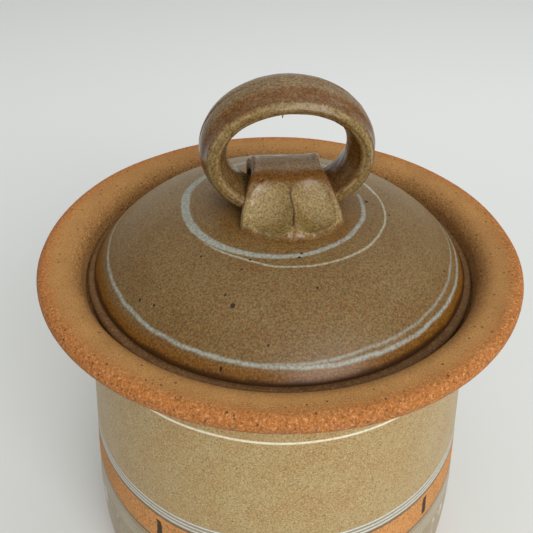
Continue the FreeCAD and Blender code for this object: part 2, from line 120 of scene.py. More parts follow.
class ShaderGraph:
    """Adds and links the nodes of one material."""

    def __init__(self, name: str) -> None:
        """Start an empty material.

        Args:
            name: the material's name.
        """
        self.material = bpy.data.materials.new(name)
        self.material.use_nodes = True
        self.tree = self.material.node_tree
        self.tree.nodes.clear()
        place = self.tree.nodes.new("ShaderNodeTexCoord").outputs["Object"]
        self.place = self.vector("SCALE", place, scale=1 / MM)
        split = self.node("ShaderNodeSeparateXYZ", Vector=self.place)
        self.across, self.along, self.height = split.outputs
        self.flat = self.vector("MULTIPLY", self.place, (1.0, 1.0, 0.0))
        self.radius = self.length(self.flat)
        self.angle = self.times(self.math("ARCTAN2", self.along, self.across), 180 / math.pi)

    def node(self, kind: str, operation: str | None = None, **inputs: object) -> bpy.types.Node:
        """Add one node.

        Args:
            kind: the node's type.
            operation: its operation, where it has one.
            inputs: values or sockets for its inputs, by name.

        Returns:
            The new node.
        """
        node = self.tree.nodes.new(kind)
        if operation is not None:
            node.operation = operation
        for name, value in inputs.items():
            self.feed(node.inputs[name.replace("_", " ")], value)
        return node

    def feed(self, socket: Socket, value: object) -> None:
        """Link a socket to another, or give it a value.

        Args:
            socket: the socket that is fed.
            value: a socket, or a value for it.
        """
        if isinstance(value, Socket):
            self.tree.links.new(value, socket)
        elif isinstance(value, tuple) and len(value) == 3 and socket.type == "RGBA":
            socket.default_value = (*value, 1.0)
        else:
            socket.default_value = value

    def math(self, operation: str, first: object, second: object = 0.0, third: object = 0.0,
             tidy: bool = False) -> Socket:
        """Add a Math node.

        Args:
            operation: the node's operation.
            first: its first value or socket.
            second: its second value or socket.
            third: its third value or socket.
            tidy: keeps the result between 0 and 1.

        Returns:
            The result's socket.
        """
        node = self.tree.nodes.new("ShaderNodeMath")
        node.operation = operation
        node.use_clamp = tidy
        for socket, value in zip(node.inputs, (first, second, third)):
            self.feed(socket, value)
        return node.outputs[0]

    def times(self, first: object, second: object) -> Socket:
        """Multiply two values or sockets."""
        return self.math("MULTIPLY", first, second)

    def vector(self, operation: str, first: object, second: object = (0.0, 0.0, 0.0),
               scale: float = 1.0) -> Socket:
        """Add a Vector Math node.

        Args:
            operation: the node's operation.
            first: its first vector or socket.
            second: its second vector or socket.
            scale: its factor, where it scales.

        Returns:
            The resulting vector's socket.
        """
        node = self.tree.nodes.new("ShaderNodeVectorMath")
        node.operation = operation
        self.feed(node.inputs[0], first)
        self.feed(node.inputs[1], second)
        if operation == "SCALE":
            node.inputs["Scale"].default_value = scale
        return node.outputs[0]

    def length(self, vector: Socket) -> Socket:
        """Measure a vector's length."""
        return self.node("ShaderNodeVectorMath", "LENGTH", Vector=vector).outputs["Value"]

    def noise(self, size: float, detail: float = 2.0, roughness: float = 0.5, warp: float = 0.0,
              place: Socket | None = None) -> Socket:
        """Add cloudy noise.

        Args:
            size: the size of its blotches, in millimetres.
            detail: how many finer layers it has.
            roughness: how strong the finer layers are.
            warp: how much it is stirred.
            place: where it is read, in millimetres.

        Returns:
            The noise's value, from 0 to 1 about a half.
        """
        node = self.node("ShaderNodeTexNoise", Vector=place or self.place, Scale=1 / size,
                         Detail=detail, Roughness=roughness, Distortion=warp)
        return node.outputs["Fac"]

    def relief(self, *layers: tuple[float, ...]) -> Socket:
        """Add up layers of noise as a fine relief.

        Args:
            layers: the size, height, detail and roughness of each; the last two may be left out.

        Returns:
            The relief's height, in millimetres.
        """
        total: object = 0.0
        for size, height, *finer in layers:
            total = self.math("MULTIPLY_ADD", self.noise(size, *finer), height, total)
        return total

    def grains(self, size: float) -> tuple[Socket, Socket]:
        """Add scattered grains.

        Args:
            size: the distance between grains, in millimetres.

        Returns:
            The distance from the nearest grain, in grain distances, and a random colour for it.
        """
        node = self.node("ShaderNodeTexVoronoi", Vector=self.place, Scale=1 / size)
        return node.outputs["Distance"], node.outputs["Color"]

    def ease(self, value: object, low: float, high: float) -> Socket:
        """Rise smoothly from 0 to 1.

        Args:
            value: the value that the rise follows.
            low: where it is still 0.
            high: where it is 1, which may be below the other.

        Returns:
            The eased value.
        """
        node = self.node("ShaderNodeMapRange", Value=value)
        node.interpolation_type = "SMOOTHSTEP"
        backwards = high < low
        node.inputs["From Min"].default_value = min(low, high)
        node.inputs["From Max"].default_value = max(low, high)
        node.inputs["To Min"].default_value = 1.0 if backwards else 0.0
        node.inputs["To Max"].default_value = 0.0 if backwards else 1.0
        return node.outputs[0]

    def stripe(self, value: object, middle: object, half: float, soft: float) -> Socket:
        """Mask of a stripe.

        Args:
            value: what the stripe is measured along.
            middle: where its middle is.
            half: half its width.
            soft: the width of its soft edge.

        Returns:
            1 inside the stripe and 0 outside.
        """
        away = self.math("ABSOLUTE", self.math("SUBTRACT", value, middle))
        return self.ease(away, half + soft / 2, half - soft / 2)

    def between(self, value: object, low: object, high: object, soft: float) -> Socket:
        """Mask of the places where a value lies between two others.

        Args:
            value: the value looked at.
            low: the lower limit.
            high: the upper limit.
            soft: the width of the mask's soft edges.

        Returns:
            1 between the limits and 0 outside them.
        """
        above = self.ease(self.math("SUBTRACT", value, low), -soft / 2, soft / 2)
        below = self.ease(self.math("SUBTRACT", high, value), -soft / 2, soft / 2)
        return self.times(above, below)

    def mix(self, share: object, base: object, top: object, how: str = "MIX") -> Socket:
        """Lay one colour over another.

        Args:
            share: how much of the top colour shows.
            base: the colour below.
            top: the colour above.
            how: the way that they mix.

        Returns:
            The mixed colour.
        """
        node = self.tree.nodes.new("ShaderNodeMix")
        node.data_type = "RGBA"
        node.blend_type = how
        self.feed(node.inputs["Factor"], share)
        self.feed(node.inputs[6], base)
        self.feed(node.inputs[7], top)
        return node.outputs[2]

    def lay(self, base: object, top: object, mask: object, amount: object) -> Socket:
        """Lay one colour over another where a mask shows it.

        Args:
            base: the colour below.
            top: the colour above.
            mask: where the top colour shows.
            amount: how strongly it shows.

        Returns:
            The mixed colour.
        """
        return self.mix(self.times(mask, amount), base, top)

    def mark(self, name: str) -> Socket:
        """Read one of the marks left in the mesh.

        Args:
            name: the mark's name.

        Returns:
            The mark's value at each place.
        """
        node = self.tree.nodes.new("ShaderNodeAttribute")
        node.attribute_name = name
        return node.outputs["Fac"]

    def curve(self, value: object, points: Curve) -> Socket:
        """Read a smooth curve of a value.

        Args:
            value: the value looked up.
            points: places from the curve's start to its end, each with the curve's height there.

        Returns:
            The curve's height.
        """
        low, high = points[0][0], points[-1][0]
        floor = min(height for _, height in points)
        rise = max(max(height for _, height in points) - floor, 1e-6)
        node = self.tree.nodes.new("ShaderNodeFloatCurve")
        line = node.mapping.curves[0]
        places = [((at - low) / (high - low), (height - floor) / rise) for at, height in points]
        while len(line.points) < len(places):
            line.points.new(0.5, 0.5)
        for point, place in zip(line.points, places):
            point.location = place
        node.mapping.update()
        share = self.math("DIVIDE", self.math("SUBTRACT", value, low), high - low, tidy=True)
        self.feed(node.inputs["Value"], share)
        return self.math("MULTIPLY_ADD", node.outputs[0], rise, floor)

    def finish(self, colour: object, roughness: object, relief: object, depth: float,
               gloss: float = 0.5) -> bpy.types.Material:
        """Close the material with its surface shader.

        Args:
            colour: the surface's colour.
            roughness: its roughness.
            relief: the height of its fine relief, in millimetres.
            depth: how strongly the relief shows.
            gloss: the strength of its plain reflection.

        Returns:
            The finished material.
        """
        bump = self.node("ShaderNodeBump", Height=relief, Strength=depth, Distance=MM)
        surface = self.node("ShaderNodeBsdfPrincipled", Base_Color=colour, Roughness=roughness,
                            Normal=bump.outputs[0], Specular_IOR_Level=gloss)
        out = self.tree.nodes.new("ShaderNodeOutputMaterial")
        self.tree.links.new(surface.outputs[0], out.inputs["Surface"])
        return self.material


@dataclass(frozen=True)
class Cloud:
    """Cloudy noise used as a mask, from 0 at one height of the noise to 1 at another."""

    size: float
    start: float
    full: float
    detail: float = 2.0
    roughness: float = 0.5
    warp: float = 0.0

    def mask(self, graph: ShaderGraph) -> Socket:
        """Read the mask in a material's graph."""
        cloud = graph.noise(self.size, self.detail, self.roughness, self.warp)
        return graph.ease(cloud, self.start, self.full)


@dataclass(frozen=True)
class Waver:
    """Noise that moves an edge to and fro by up to a reach, in millimetres."""

    size: float
    reach: float
    detail: float = 2.0
    roughness: float = 0.5
    warp: float = 0.0

    def shift(self, graph: ShaderGraph) -> Socket:
        """Read the shift at each place in a material's graph."""
        cloud = graph.noise(self.size, self.detail, self.roughness, self.warp)
        return graph.math("MULTIPLY_ADD", cloud, 2 * self.reach, -self.reach)


@dataclass(frozen=True)
class Grain:
    """Fine grain of two colours, one in the noise's low places and one in its high places."""

    size: float
    low: Span
    high: Span
    detail: float = 2.0
    roughness: float = 0.7
    warp: float = 0.0

    def lay(self, graph: ShaderGraph, base: object, low: tuple[object, object],
            high: tuple[object, object]) -> Socket:
        """Lay the grain over a colour.

        Args:
            graph: the material's graph.
            base: the colour below.
            low: the colour of the low places, and how strongly it shows.
            high: the colour of the high places, and how strongly it shows.

        Returns:
            The grained colour.
        """
        cloud = graph.noise(self.size, self.detail, self.roughness, self.warp)
        colour = graph.lay(base, high[0], graph.ease(cloud, *self.high), high[1])
        return graph.lay(colour, low[0], graph.ease(cloud, *self.low), low[1])


@dataclass(frozen=True)
class Specks:
    """Round specks, scattered; their size and core are shares of the distance apart."""

    apart: float
    size: float
    core: float
    empty: float
    amount: float

    def mask(self, graph: ShaderGraph) -> Socket:
        """Read the specks' mask, with their strength, in a material's graph.

        Args:
            graph: the material's graph.

        Returns:
            How strongly a speck shows at each place.
        """
        distance, tint = graph.grains(self.apart)
        chance = graph.node("ShaderNodeSeparateColor", Color=tint).outputs[0]
        drawn = graph.ease(chance, self.empty, self.empty + 0.1)
        return graph.times(graph.times(graph.ease(distance, self.size, self.core), drawn), self.amount)


SPECKLE = Grain(1.0, low=(0.46, 0.36), high=(0.50, 0.60))
COARSE_GRAIN = Grain(0.95, low=(0.47, 0.32), high=(0.52, 0.68))


def speckled(graph: ShaderGraph, colour: object, size: float, dark: float, light: float) -> Socket:
    """Break a colour up into fine darker and lighter specks.

    Args:
        graph: the material's graph.
        colour: the colour below.
        size: the size of the specks, in millimetres.
        dark: how strongly the dark ones show.
        light: how strongly the light ones show.

    Returns:
        The speckled colour.
    """
    shade = graph.mix(1.0, colour, (0.38, 0.25, 0.14), "MULTIPLY")
    glow = graph.mix(1.0, colour, (0.11, 0.072, 0.028), "ADD")
    return replace(SPECKLE, size=size).lay(graph, colour, (glow, light), (shade, dark))


@dataclass(frozen=True)
class BareClay:
    """Unglazed stoneware: warm tan-brown and grainy, toasted to rust and orange at its edges."""

    body: Colour = (0.41, 0.208, 0.062)
    toasted: Colour = (0.17, 0.075, 0.019)
    flashed: Colour = (0.41, 0.135, 0.027)
    pale: Colour = (0.66, 0.35, 0.15)
    burnt: Colour = (0.045, 0.020, 0.008)
    fine: Grain = Grain(0.55, low=(0.5, 0.3), high=(0.55, 0.75), roughness=0.6)
    fine_amounts: Span = (0.7, 0.45)
    coarse: Grain = Grain(0.55 * 2.1, low=(0.48, 0.36), high=(0.54, 0.68), detail=3.0, warp=0.3)
    coarse_amounts: Span = (0.85, 0.7)
    specks: Specks = Specks(apart=2.6, size=0.26, core=0.12, empty=0.7, amount=0.8)
    flashing: Cloud = Cloud(10.0, start=0.35, full=0.7, detail=3.0, roughness=0.6)
    flashing_amount: float = 0.5
    sparkle: float = 0.8
    layers: Layers = ((0.55, 0.16, 3.0, 0.65), (5.0, 0.16))
    roughness: float = 0.75
    depth: float = 0.8
    gloss: float = 0.25
    name: str = "bare_stoneware"

    def grained(self, graph: ShaderGraph, base: object, coarse: object) -> Socket:
        """Lay the grain over a colour.

        Args:
            graph: the material's graph.
            base: the clay's plain colour.
            coarse: where the grain is coarse and sparkling, from 0 to 1.

        Returns:
            The grained colour.
        """
        low, high = self.fine_amounts
        colour = self.fine.lay(graph, base, (self.toasted, low), (self.pale, high))
        low, high = (graph.times(coarse, amount) for amount in self.coarse_amounts)
        colour = self.coarse.lay(graph, colour, (self.toasted, low), (self.pale, high))
        return graph.mix(self.specks.mask(graph), colour, self.burnt)

    def colour(self, graph: ShaderGraph) -> Socket:
        """Mix the colour of a plain stretch of clay, such as the band."""
        base = graph.lay(self.flashed, self.body, self.flashing.mask(graph), self.flashing_amount)
        return self.grained(graph, base, self.sparkle)

    def material(self) -> bpy.types.Material:
        """Make the plain clay's material.

        Returns:
            The finished material.
        """
        graph = ShaderGraph(self.name)
        relief = graph.relief(*self.layers)
        return graph.finish(self.colour(graph), self.roughness, relief, self.depth, self.gloss)


@dataclass(frozen=True)
class RimClay:
    """The jar's bare rim: tan on top, orange and coarse at its edge, partly painted shade on its inner slope,
    and painted shade mottled near-black in the gallery.
    """

    clay: BareClay = BareClay()
    ash: Colour = (0.20, 0.115, 0.085)
    edge: Span = (104.5, 113.0)
    slope: Span = (104.0, 96.5)
    outside: Span = (106.0, 110.0)
    below: Span = (196.5, 191.0)
    gallery: Span = (99.5, 96.0)
    wander: Waver = Waver(9.0, reach=2.5, detail=3.0, roughness=0.6)
    toast: Cloud = Cloud(20.0, start=0.3, full=0.75, detail=3.0, roughness=0.55)
    smoke: Cloud = Cloud(5.0, start=0.47, full=0.62, detail=4.0, roughness=0.7, warp=0.8)
    gallery_shade_mottle: Cloud = Cloud(0.95, start=0.55, full=0.66, roughness=0.7)
    toast_amount: float = 0.3
    edge_amount: float = 0.9
    smoke_amount: float = 0.7
    slope_amount: float = 0.2
    slope_coarseness: float = 0.65
    gallery_shade_amount: float = 0.75
    coarse_layer: tuple[float, float, float] = (1.3, 0.3, 3.0)
    depth: float = 0.9

    def material(self) -> bpy.types.Material:
        """Make the rim's material.

        Returns:
            The finished material.
        """
        graph = ShaderGraph("rim_clay")
        clay = self.clay
        reach = graph.math("ADD", graph.radius, self.wander.shift(graph))
        edge = graph.ease(reach, *self.edge)
        slope = graph.ease(reach, *self.slope)
        colour = graph.lay(clay.body, clay.toasted, self.toast.mask(graph), self.toast_amount)
        colour = graph.lay(colour, clay.flashed, edge, self.edge_amount)
        outside = graph.ease(graph.radius, *self.outside)
        under_edge = graph.times(outside, graph.ease(graph.height, *self.below))
        smoke = graph.times(self.smoke.mask(graph), self.smoke_amount)
        colour = graph.lay(colour, self.ash, smoke, under_edge)
        # The inner slope is darkened towards toasted clay: partly toasted clay, partly painted shade.
        colour = graph.lay(colour, clay.toasted, slope, self.slope_amount)
        coarse = graph.math("MAXIMUM", edge, graph.times(slope, self.slope_coarseness))
        colour = clay.grained(graph, colour, coarse)
        # Painted shade: the clay down in the gallery is mottled near-black.
        gallery = graph.times(graph.ease(graph.radius, *self.gallery), self.gallery_shade_amount)
        colour = graph.lay(colour, clay.burnt, self.gallery_shade_mottle.mask(graph), gallery)
        relief = graph.math("MULTIPLY_ADD", coarse, graph.relief(self.coarse_layer),
                            graph.relief(*clay.layers))
        return graph.finish(colour, clay.roughness, relief, self.depth, clay.gloss)


@dataclass(frozen=True)
class SpeckledGlaze:
    """Satin glaze over speckled stoneware, shared by the wall and the lid."""

    thick: Colour
    thin: Colour
    rust: Colour = (0.22, 0.078, 0.018)
    light: Colour = (0.55, 0.43, 0.23)
    grain: Grain = Grain(0.75, low=(0.47, 0.32), high=(0.52, 0.68))
    pooling: Cloud = Cloud(18.0, start=0.3, full=0.7, detail=4.0, roughness=0.6)
    specks: tuple[Specks, Specks] = (Specks(apart=2.1, size=0.27, core=0.135, empty=0.62, amount=0.75),
                                     Specks(apart=11.0, size=0.085, core=0.0425, empty=0.35, amount=0.8))

    def colour(self, graph: ShaderGraph, rust_amount: float, light_amount: float = 0.35) -> Socket:
        """Mix the glaze's colour in a material's graph.

        Args:
            graph: the material's graph.
            rust_amount: how strongly the fine rust grain shows.
            light_amount: how strongly the fine pale grain shows.

        Returns:
            The glaze's colour.
        """
        colour = graph.mix(self.pooling.mask(graph), self.thick, self.thin)
        colour = self.grain.lay(graph, colour, (self.light, light_amount), (self.rust, rust_amount))
        for specks in self.specks:
            colour = graph.mix(specks.mask(graph), colour, self.rust)
        return colour


@dataclass(frozen=True)
class WallGlaze:
    """The jar's wall: olive-tan glaze, pale lines, a bare band with brush marks, pale dabs below."""

    glaze: SpeckledGlaze = SpeckledGlaze((0.395, 0.298, 0.132), (0.38, 0.258, 0.10),
                                         rust=(0.27, 0.11, 0.025), light=(0.58, 0.49, 0.30))
    lower: SpeckledGlaze = SpeckledGlaze((0.33, 0.265, 0.16), (0.27, 0.20, 0.11))
    clay: BareClay = BareClay(body=(0.46, 0.205, 0.060), flashed=(0.60, 0.27, 0.082))
    cream: Colour = (0.78, 0.72, 0.55)
    pale: Colour = (0.60, 0.62, 0.58)
    shade: Colour = (0.22, 0.20, 0.155)
    ink: Colour = (0.012, 0.011, 0.010)
    edge: Colour = (0.10, 0.048, 0.022)
    glaze_top: float = 171.5
    neck_line: float = 161.9
    upper_lines: tuple[float, ...] = (100.1, 97.6, 95.3)
    glaze_change: Span = (92.0, 94.0)
    band_top: float = 92.6
    band_bottom: float = 74.6
    lower_lines: tuple[float, ...] = (68.6, 66.0, 63.6, 61.4)
    foot_top: float = 12.0
    waver: Waver = Waver(40.0, reach=0.8, detail=1.0)
    ragged: Waver = Waver(2.2, reach=0.6, detail=3.0)
    chalk: Cloud = Cloud(1.4, start=0.30, full=0.52, roughness=0.6)
    group_amount: float = 0.6
    thin_line_amount: float = 0.55
    rims_amount: float = 0.85
    dab_size: float = 4.5
    dab_stretch: float = 0.22
    dab_cut: Span = (0.52, 0.64)
    dab_groups: Cloud = Cloud(24.0, start=0.42, full=0.6, detail=1.0)
    dab_start: Span = (60.0, 56.0)
    dab_end: Span = (22.0, 34.0)
    dab_amount: float = 0.8
    stroke_count: int = 9
    stroke_turn: float = 130.0
    stroke_half: float = 0.85
    stroke_sway: Waver = Waver(7.0, reach=0.8)
    stroke_top: float = 89.5
    stroke_amount: float = 0.92
    layer: tuple[float, float] = (3.5, 0.10)
    satin: float = 0.36
    dryness: float = 0.40

    def lines(self, graph: ShaderGraph, colour: object, level: object) -> Socket:
        """Draw the pale lines round the wall.

        Args:
            graph: the material's graph.
            colour: the colour below.
            level: the height at each place, with the lines' waver.

        Returns:
            The colour with the lines on it.
        """
        broken = graph.math("MULTIPLY_ADD", self.chalk.mask(graph), 0.35, 0.6)
        neck = graph.stripe(level, self.neck_line, half=0.6, soft=0.5)
        colour = graph.lay(colour, self.cream, neck, broken)
        group = graph.between(level, self.upper_lines[-1] - 1.9, self.upper_lines[0] + 0.9, soft=1.0)
        colour = graph.lay(colour, self.shade, group, self.group_amount)
        for height in self.upper_lines:
            line = graph.stripe(level, height, half=0.5, soft=0.7)
            colour = graph.lay(colour, self.pale, line, broken)
        for height in self.lower_lines:
            line = graph.stripe(level, height, half=0.3, soft=0.4)
            colour = graph.lay(colour, self.pale, line, self.thin_line_amount)
        return colour

    def dabs(self, graph: ShaderGraph) -> Socket:
        """Mask of the upright pale dabs that run down from the lower lines.

        Args:
            graph: the material's graph.

        Returns:
            How strongly a dab shows at each place.
        """
        stretched = graph.vector("MULTIPLY", graph.place, (1.0, 1.0, self.dab_stretch))
        cloud = graph.noise(self.dab_size, detail=3.0, roughness=0.6, warp=0.4, place=stretched)
        cloud = graph.ease(cloud, *self.dab_cut)
        run = graph.times(graph.ease(graph.height, *self.dab_start), graph.ease(graph.height, *self.dab_end))
        return graph.times(graph.times(graph.times(cloud, run), self.dab_groups.mask(graph)), self.dab_amount)

    def marks(self, graph: ShaderGraph) -> Socket:
        """Mask of the short dark brush marks, spaced evenly round the bare band.

        Args:
            graph: the material's graph.

        Returns:
            How strongly a mark shows at each place.
        """
        spacing = 360.0 / self.stroke_count
        turned = graph.math("ADD", graph.angle, 360.0 + self.stroke_turn + spacing * 1.5)
        within = graph.math("SUBTRACT", graph.math("FLOORED_MODULO", turned, spacing), spacing / 2)
        swayed = graph.math("ADD", within, self.stroke_sway.shift(graph))
        stroke = graph.stripe(swayed, 0.0, self.stroke_half, soft=0.5)
        span = graph.between(graph.height, self.band_bottom + 2.5, self.stroke_top, soft=1.0)
        return graph.times(graph.times(stroke, span), self.stroke_amount)

    def material(self) -> bpy.types.Material:
        """Make the wall's material.

        Returns:
            The finished material.
        """
        graph = ShaderGraph("wall_glaze")
        level = graph.math("ADD", graph.height, self.waver.shift(graph))
        ragged = graph.math("ADD", level, self.ragged.shift(graph))
        upper = self.glaze.colour(graph, rust_amount=0.85, light_amount=0.5)
        upper = speckled(graph, upper, size=0.9, dark=0.34, light=0.36)
        lower = self.lower.colour(graph, rust_amount=0.4)
        colour = graph.mix(graph.ease(graph.height, *self.glaze_change), lower, upper)
        colour = self.lines(graph, colour, level)
        colour = graph.mix(self.dabs(graph), colour, self.pale)
        rims = graph.between(ragged, self.band_bottom - 1.5, self.band_top + 1.3, soft=0.8)
        colour = graph.lay(colour, self.edge, rims, self.rims_amount)
        bare = graph.between(ragged, self.band_bottom, self.band_top, soft=0.5)
        clay = self.clay.colour(graph)
        colour = graph.mix(bare, colour, clay)
        colour = graph.mix(self.marks(graph), colour, self.ink)
        foot = graph.ease(ragged, self.foot_top + 0.5, self.foot_top - 0.5)
        top = graph.ease(ragged, self.glaze_top - 0.4, self.glaze_top + 0.8)
        ends = graph.math("MAXIMUM", foot, top)
        colour = graph.mix(ends, colour, clay)
        dry = graph.math("MAXIMUM", bare, ends)
        roughness = graph.math("MULTIPLY_ADD", dry, self.dryness, self.satin)
        relief = graph.math("MULTIPLY_ADD", dry, graph.relief(*self.clay.layers), graph.relief(self.layer))
        return graph.finish(colour, roughness, relief, depth=0.6, gloss=0.3)


@dataclass(frozen=True)
class LinerGlaze:
    """The plain olive glaze inside the jar and under the lid."""

    glaze: SpeckledGlaze = SpeckledGlaze((0.30, 0.22, 0.11), (0.24, 0.165, 0.075))
    layer: tuple[float, float] = (4.0, 0.1)

    def material(self) -> bpy.types.Material:
        """Make the liner's material.

        Returns:
            The finished material.
        """
        graph = ShaderGraph("liner_glaze")
        colour = self.glaze.colour(graph, rust_amount=0.5)
        return graph.finish(colour, roughness=0.36, relief=graph.relief(self.layer), depth=0.5)


@dataclass(frozen=True)
class Pit:
    """A small iron pit in the dome's glaze."""

    angle: float
    radius: float
    size: float

    def mask(self, graph: ShaderGraph) -> Socket:
        """Read the pit's mask in a material's graph.

        Args:
            graph: the material's graph.

        Returns:
            1 in the pit and 0 outside it.
        """
        turn = math.radians(self.angle)
        middle = (self.radius * math.cos(turn), self.radius * math.sin(turn), 0.0)
        away = graph.length(graph.vector("SUBTRACT", graph.flat, middle))
        return graph.ease(away, self.size * 0.55, self.size * 0.35)


@dataclass(frozen=True)
class DomeGlaze:
    """The lid's dome: brown-olive glaze, pale slip rings, iron pits, amber near the edge, and a painted sheen
    over its back.

    The rings' radii and widths are curves of the angle, turned clockwise from the curves' start.
    """

    glaze: SpeckledGlaze = SpeckledGlaze((0.165, 0.108, 0.038), (0.150, 0.088, 0.026),
                                         rust=(0.21, 0.072, 0.008), light=(0.30, 0.22, 0.09),
                                         grain=COARSE_GRAIN)
    # painted sheen: the pale grey-tan that lightens the dome's back
    painted_sheen: Colour = (0.37, 0.295, 0.185)
    amber: Colour = (0.175, 0.066, 0.004)
    iron: Colour = (0.030, 0.012, 0.005)
    slip: Colour = (0.36, 0.41, 0.375)
    cream_slip: Colour = (0.42, 0.42, 0.32)
    curves_start: float = 9.0
    broad_middle: Curve = ((0, 38.8), (39, 39.3), (64, 40.0), (89, 41.0), (129, 42.3), (189, 44.6),
                           (224, 47.0), (360, 48.4))
    broad_half: Curve = ((0, 0.6), (39, 1.0), (89, 1.05), (129, 1.4), (189, 2.0), (224, 1.9),
                         (300, 1.2), (360, 0.7))
    thin_middle: Curve = ((0, 48.8), (39, 49.2), (89, 47.9), (114, 46.6), (131, 45.4), (189, 45.6),
                          (360, 48.6))
    outer_middle: Curve = ((0, 84.6), (50, 85.4), (90, 85.2), (115, 84.6), (150, 83.6), (189, 82.3),
                           (280, 82.6), (360, 84.4))
    second_middle: Curve = ((0, 81.4), (34, 81.9), (64, 82.8), (89, 83.5), (110, 84.4), (189, 82.4),
                            (360, 81.6))
    thin_gap: Span = (150.0, 330.0)
    second_end: Span = (122.0, 105.0)
    second_amount: float = 0.7
    brush: Waver = Waver(11.0, reach=0.8, detail=3.0, roughness=0.6)
    bristle: Waver = Waver(1.6, reach=0.25)
    chalk: Cloud = Cloud(1.3, start=0.36, full=0.6, detail=3.0, roughness=0.7)
    sheen_span: Span = (-25.0, 85.0)
    sheen_amount: float = 0.8
    wander: Waver = Waver(14.0, reach=1.2, detail=3.0)
    amber_edge: Span = (84.0, 87.4)
    amber_amount: float = 0.85
    iron_edge: Span = (87.8, 89.1)
    iron_amount: float = 0.85
    foot_centre: tuple[float, float, float] = (2.8, -3.0, 0.0)
    foot_edge: Span = (39.0, 32.0)
    foot_wander: Waver = Waver(12.0, reach=4.5, detail=3.0)
    foot_amount: float = 0.3
    slip_height: float = 0.10
    pit_depth: float = 0.3
    layers: Layers = ((3.2, 0.08), (0.7, 0.03))
    pits: tuple[Pit, ...] = (
        Pit(-84, 40.3, 1.2), Pit(-86, 42.4, 1.3), Pit(-1, 41.3, 2.0), Pit(-113, 45, 1.3),
        Pit(-137, 52, 1.3), Pit(-115, 51, 1.0), Pit(-12, 51, 1.2), Pit(-82, 59, 1.3), Pit(-117, 64, 1.2),
        Pit(-113, 67.4, 2.2), Pit(-145, 79, 1.3), Pit(-139, 77.5, 1.1), Pit(-100, 79, 1.0),
        Pit(-28, 79.5, 1.2), Pit(-112, 87, 1.4),
        Pit(158, 56, 1.1), Pit(60, 63, 1.3), Pit(100, 72, 1.2), Pit(35, 54, 1.0),
    )

    def rings(self, graph: ShaderGraph) -> tuple[Socket, Socket]:
        """Masks of the wide bluish strokes and of the thin cream ones.

        Args:
            graph: the material's graph.

        Returns:
            The two masks.
        """
        waver = graph.math("ADD", self.brush.shift(graph), self.bristle.shift(graph))
        reach = graph.math("ADD", graph.radius, waver)
        turned = graph.math("FLOORED_MODULO", graph.math("SUBTRACT", self.curves_start, graph.angle), 360.0)
        broad_middle, broad_half, thin_middle, outer_middle, second_middle = (
            graph.curve(turned, points) for points in
            (self.broad_middle, self.broad_half, self.thin_middle, self.outer_middle, self.second_middle))
        away = graph.math("ABSOLUTE", graph.math("SUBTRACT", reach, broad_middle))
        broad = graph.ease(graph.math("SUBTRACT", broad_half, away), -0.5, 0.5)
        fade = graph.math("SUBTRACT", 1.0, graph.between(turned, *self.thin_gap, soft=20.0))
        thin = graph.times(graph.stripe(reach, thin_middle, half=0.5, soft=0.7), fade)
        outer = graph.stripe(reach, outer_middle, half=0.55, soft=0.9)
        second = graph.stripe(reach, second_middle, half=0.4, soft=0.9)
        second = graph.times(second, graph.ease(turned, *self.second_end))
        outer = graph.math("MAXIMUM", outer, graph.times(second, self.second_amount))
        return graph.math("MAXIMUM", broad, outer), thin

    def spots(self, graph: ShaderGraph) -> Socket:
        """Mask of the iron pits.

        Args:
            graph: the material's graph.

        Returns:
            1 in the pits and 0 outside them.
        """
        mask: object = 0.0
        for pit in self.pits:
            mask = graph.math("MAXIMUM", pit.mask(graph), mask)
        return mask

    def foot_amber(self, graph: ShaderGraph) -> Socket:
        """Mask of the amber glaze that pooled round the handle's foot."""
        far = graph.length(graph.vector("SUBTRACT", graph.flat, self.foot_centre))
        return graph.ease(graph.math("ADD", far, self.foot_wander.shift(graph)), *self.foot_edge)

    def material(self) -> bpy.types.Material:
        """Make the dome's material.

        Returns:
            The finished material.
        """
        graph = ShaderGraph("dome_glaze")
        # Painted sheen: the back of the dome is lightened towards a pale grey-tan.
        behind = graph.ease(graph.along, *self.sheen_span)
        colour = self.glaze.colour(graph, rust_amount=0.85, light_amount=0.25)
        colour = graph.lay(colour, self.painted_sheen, behind, self.sheen_amount)
        reach = graph.math("ADD", graph.radius, self.wander.shift(graph))
        amber = graph.ease(reach, *self.amber_edge)
        pooled = graph.math("MAXIMUM", graph.times(amber, self.amber_amount),
                            graph.times(self.foot_amber(graph), self.foot_amount))
        colour = graph.mix(pooled, colour, self.amber)
        colour = speckled(graph, colour, size=0.9, dark=0.55, light=0.45)
        colour = graph.lay(colour, self.iron, graph.ease(reach, *self.iron_edge), self.iron_amount)
        broad, thin = self.rings(graph)
        cover = graph.math("MULTIPLY_ADD", self.chalk.mask(graph), 0.42, 0.33)
        colour = graph.lay(colour, self.slip, broad, cover)
        colour = graph.lay(colour, self.cream_slip, thin, cover)
        spots = self.spots(graph)
        colour = graph.mix(spots, colour, self.iron)
        relief = graph.math("MULTIPLY_ADD", graph.math("MAXIMUM", broad, thin), self.slip_height,
                            graph.relief(*self.layers))
        relief = graph.math("MULTIPLY_ADD", spots, -self.pit_depth, relief)
        roughness = graph.math("MULTIPLY_ADD", amber, -0.12, 0.44)
        return graph.finish(colour, roughness, relief, depth=0.6, gloss=0.3)


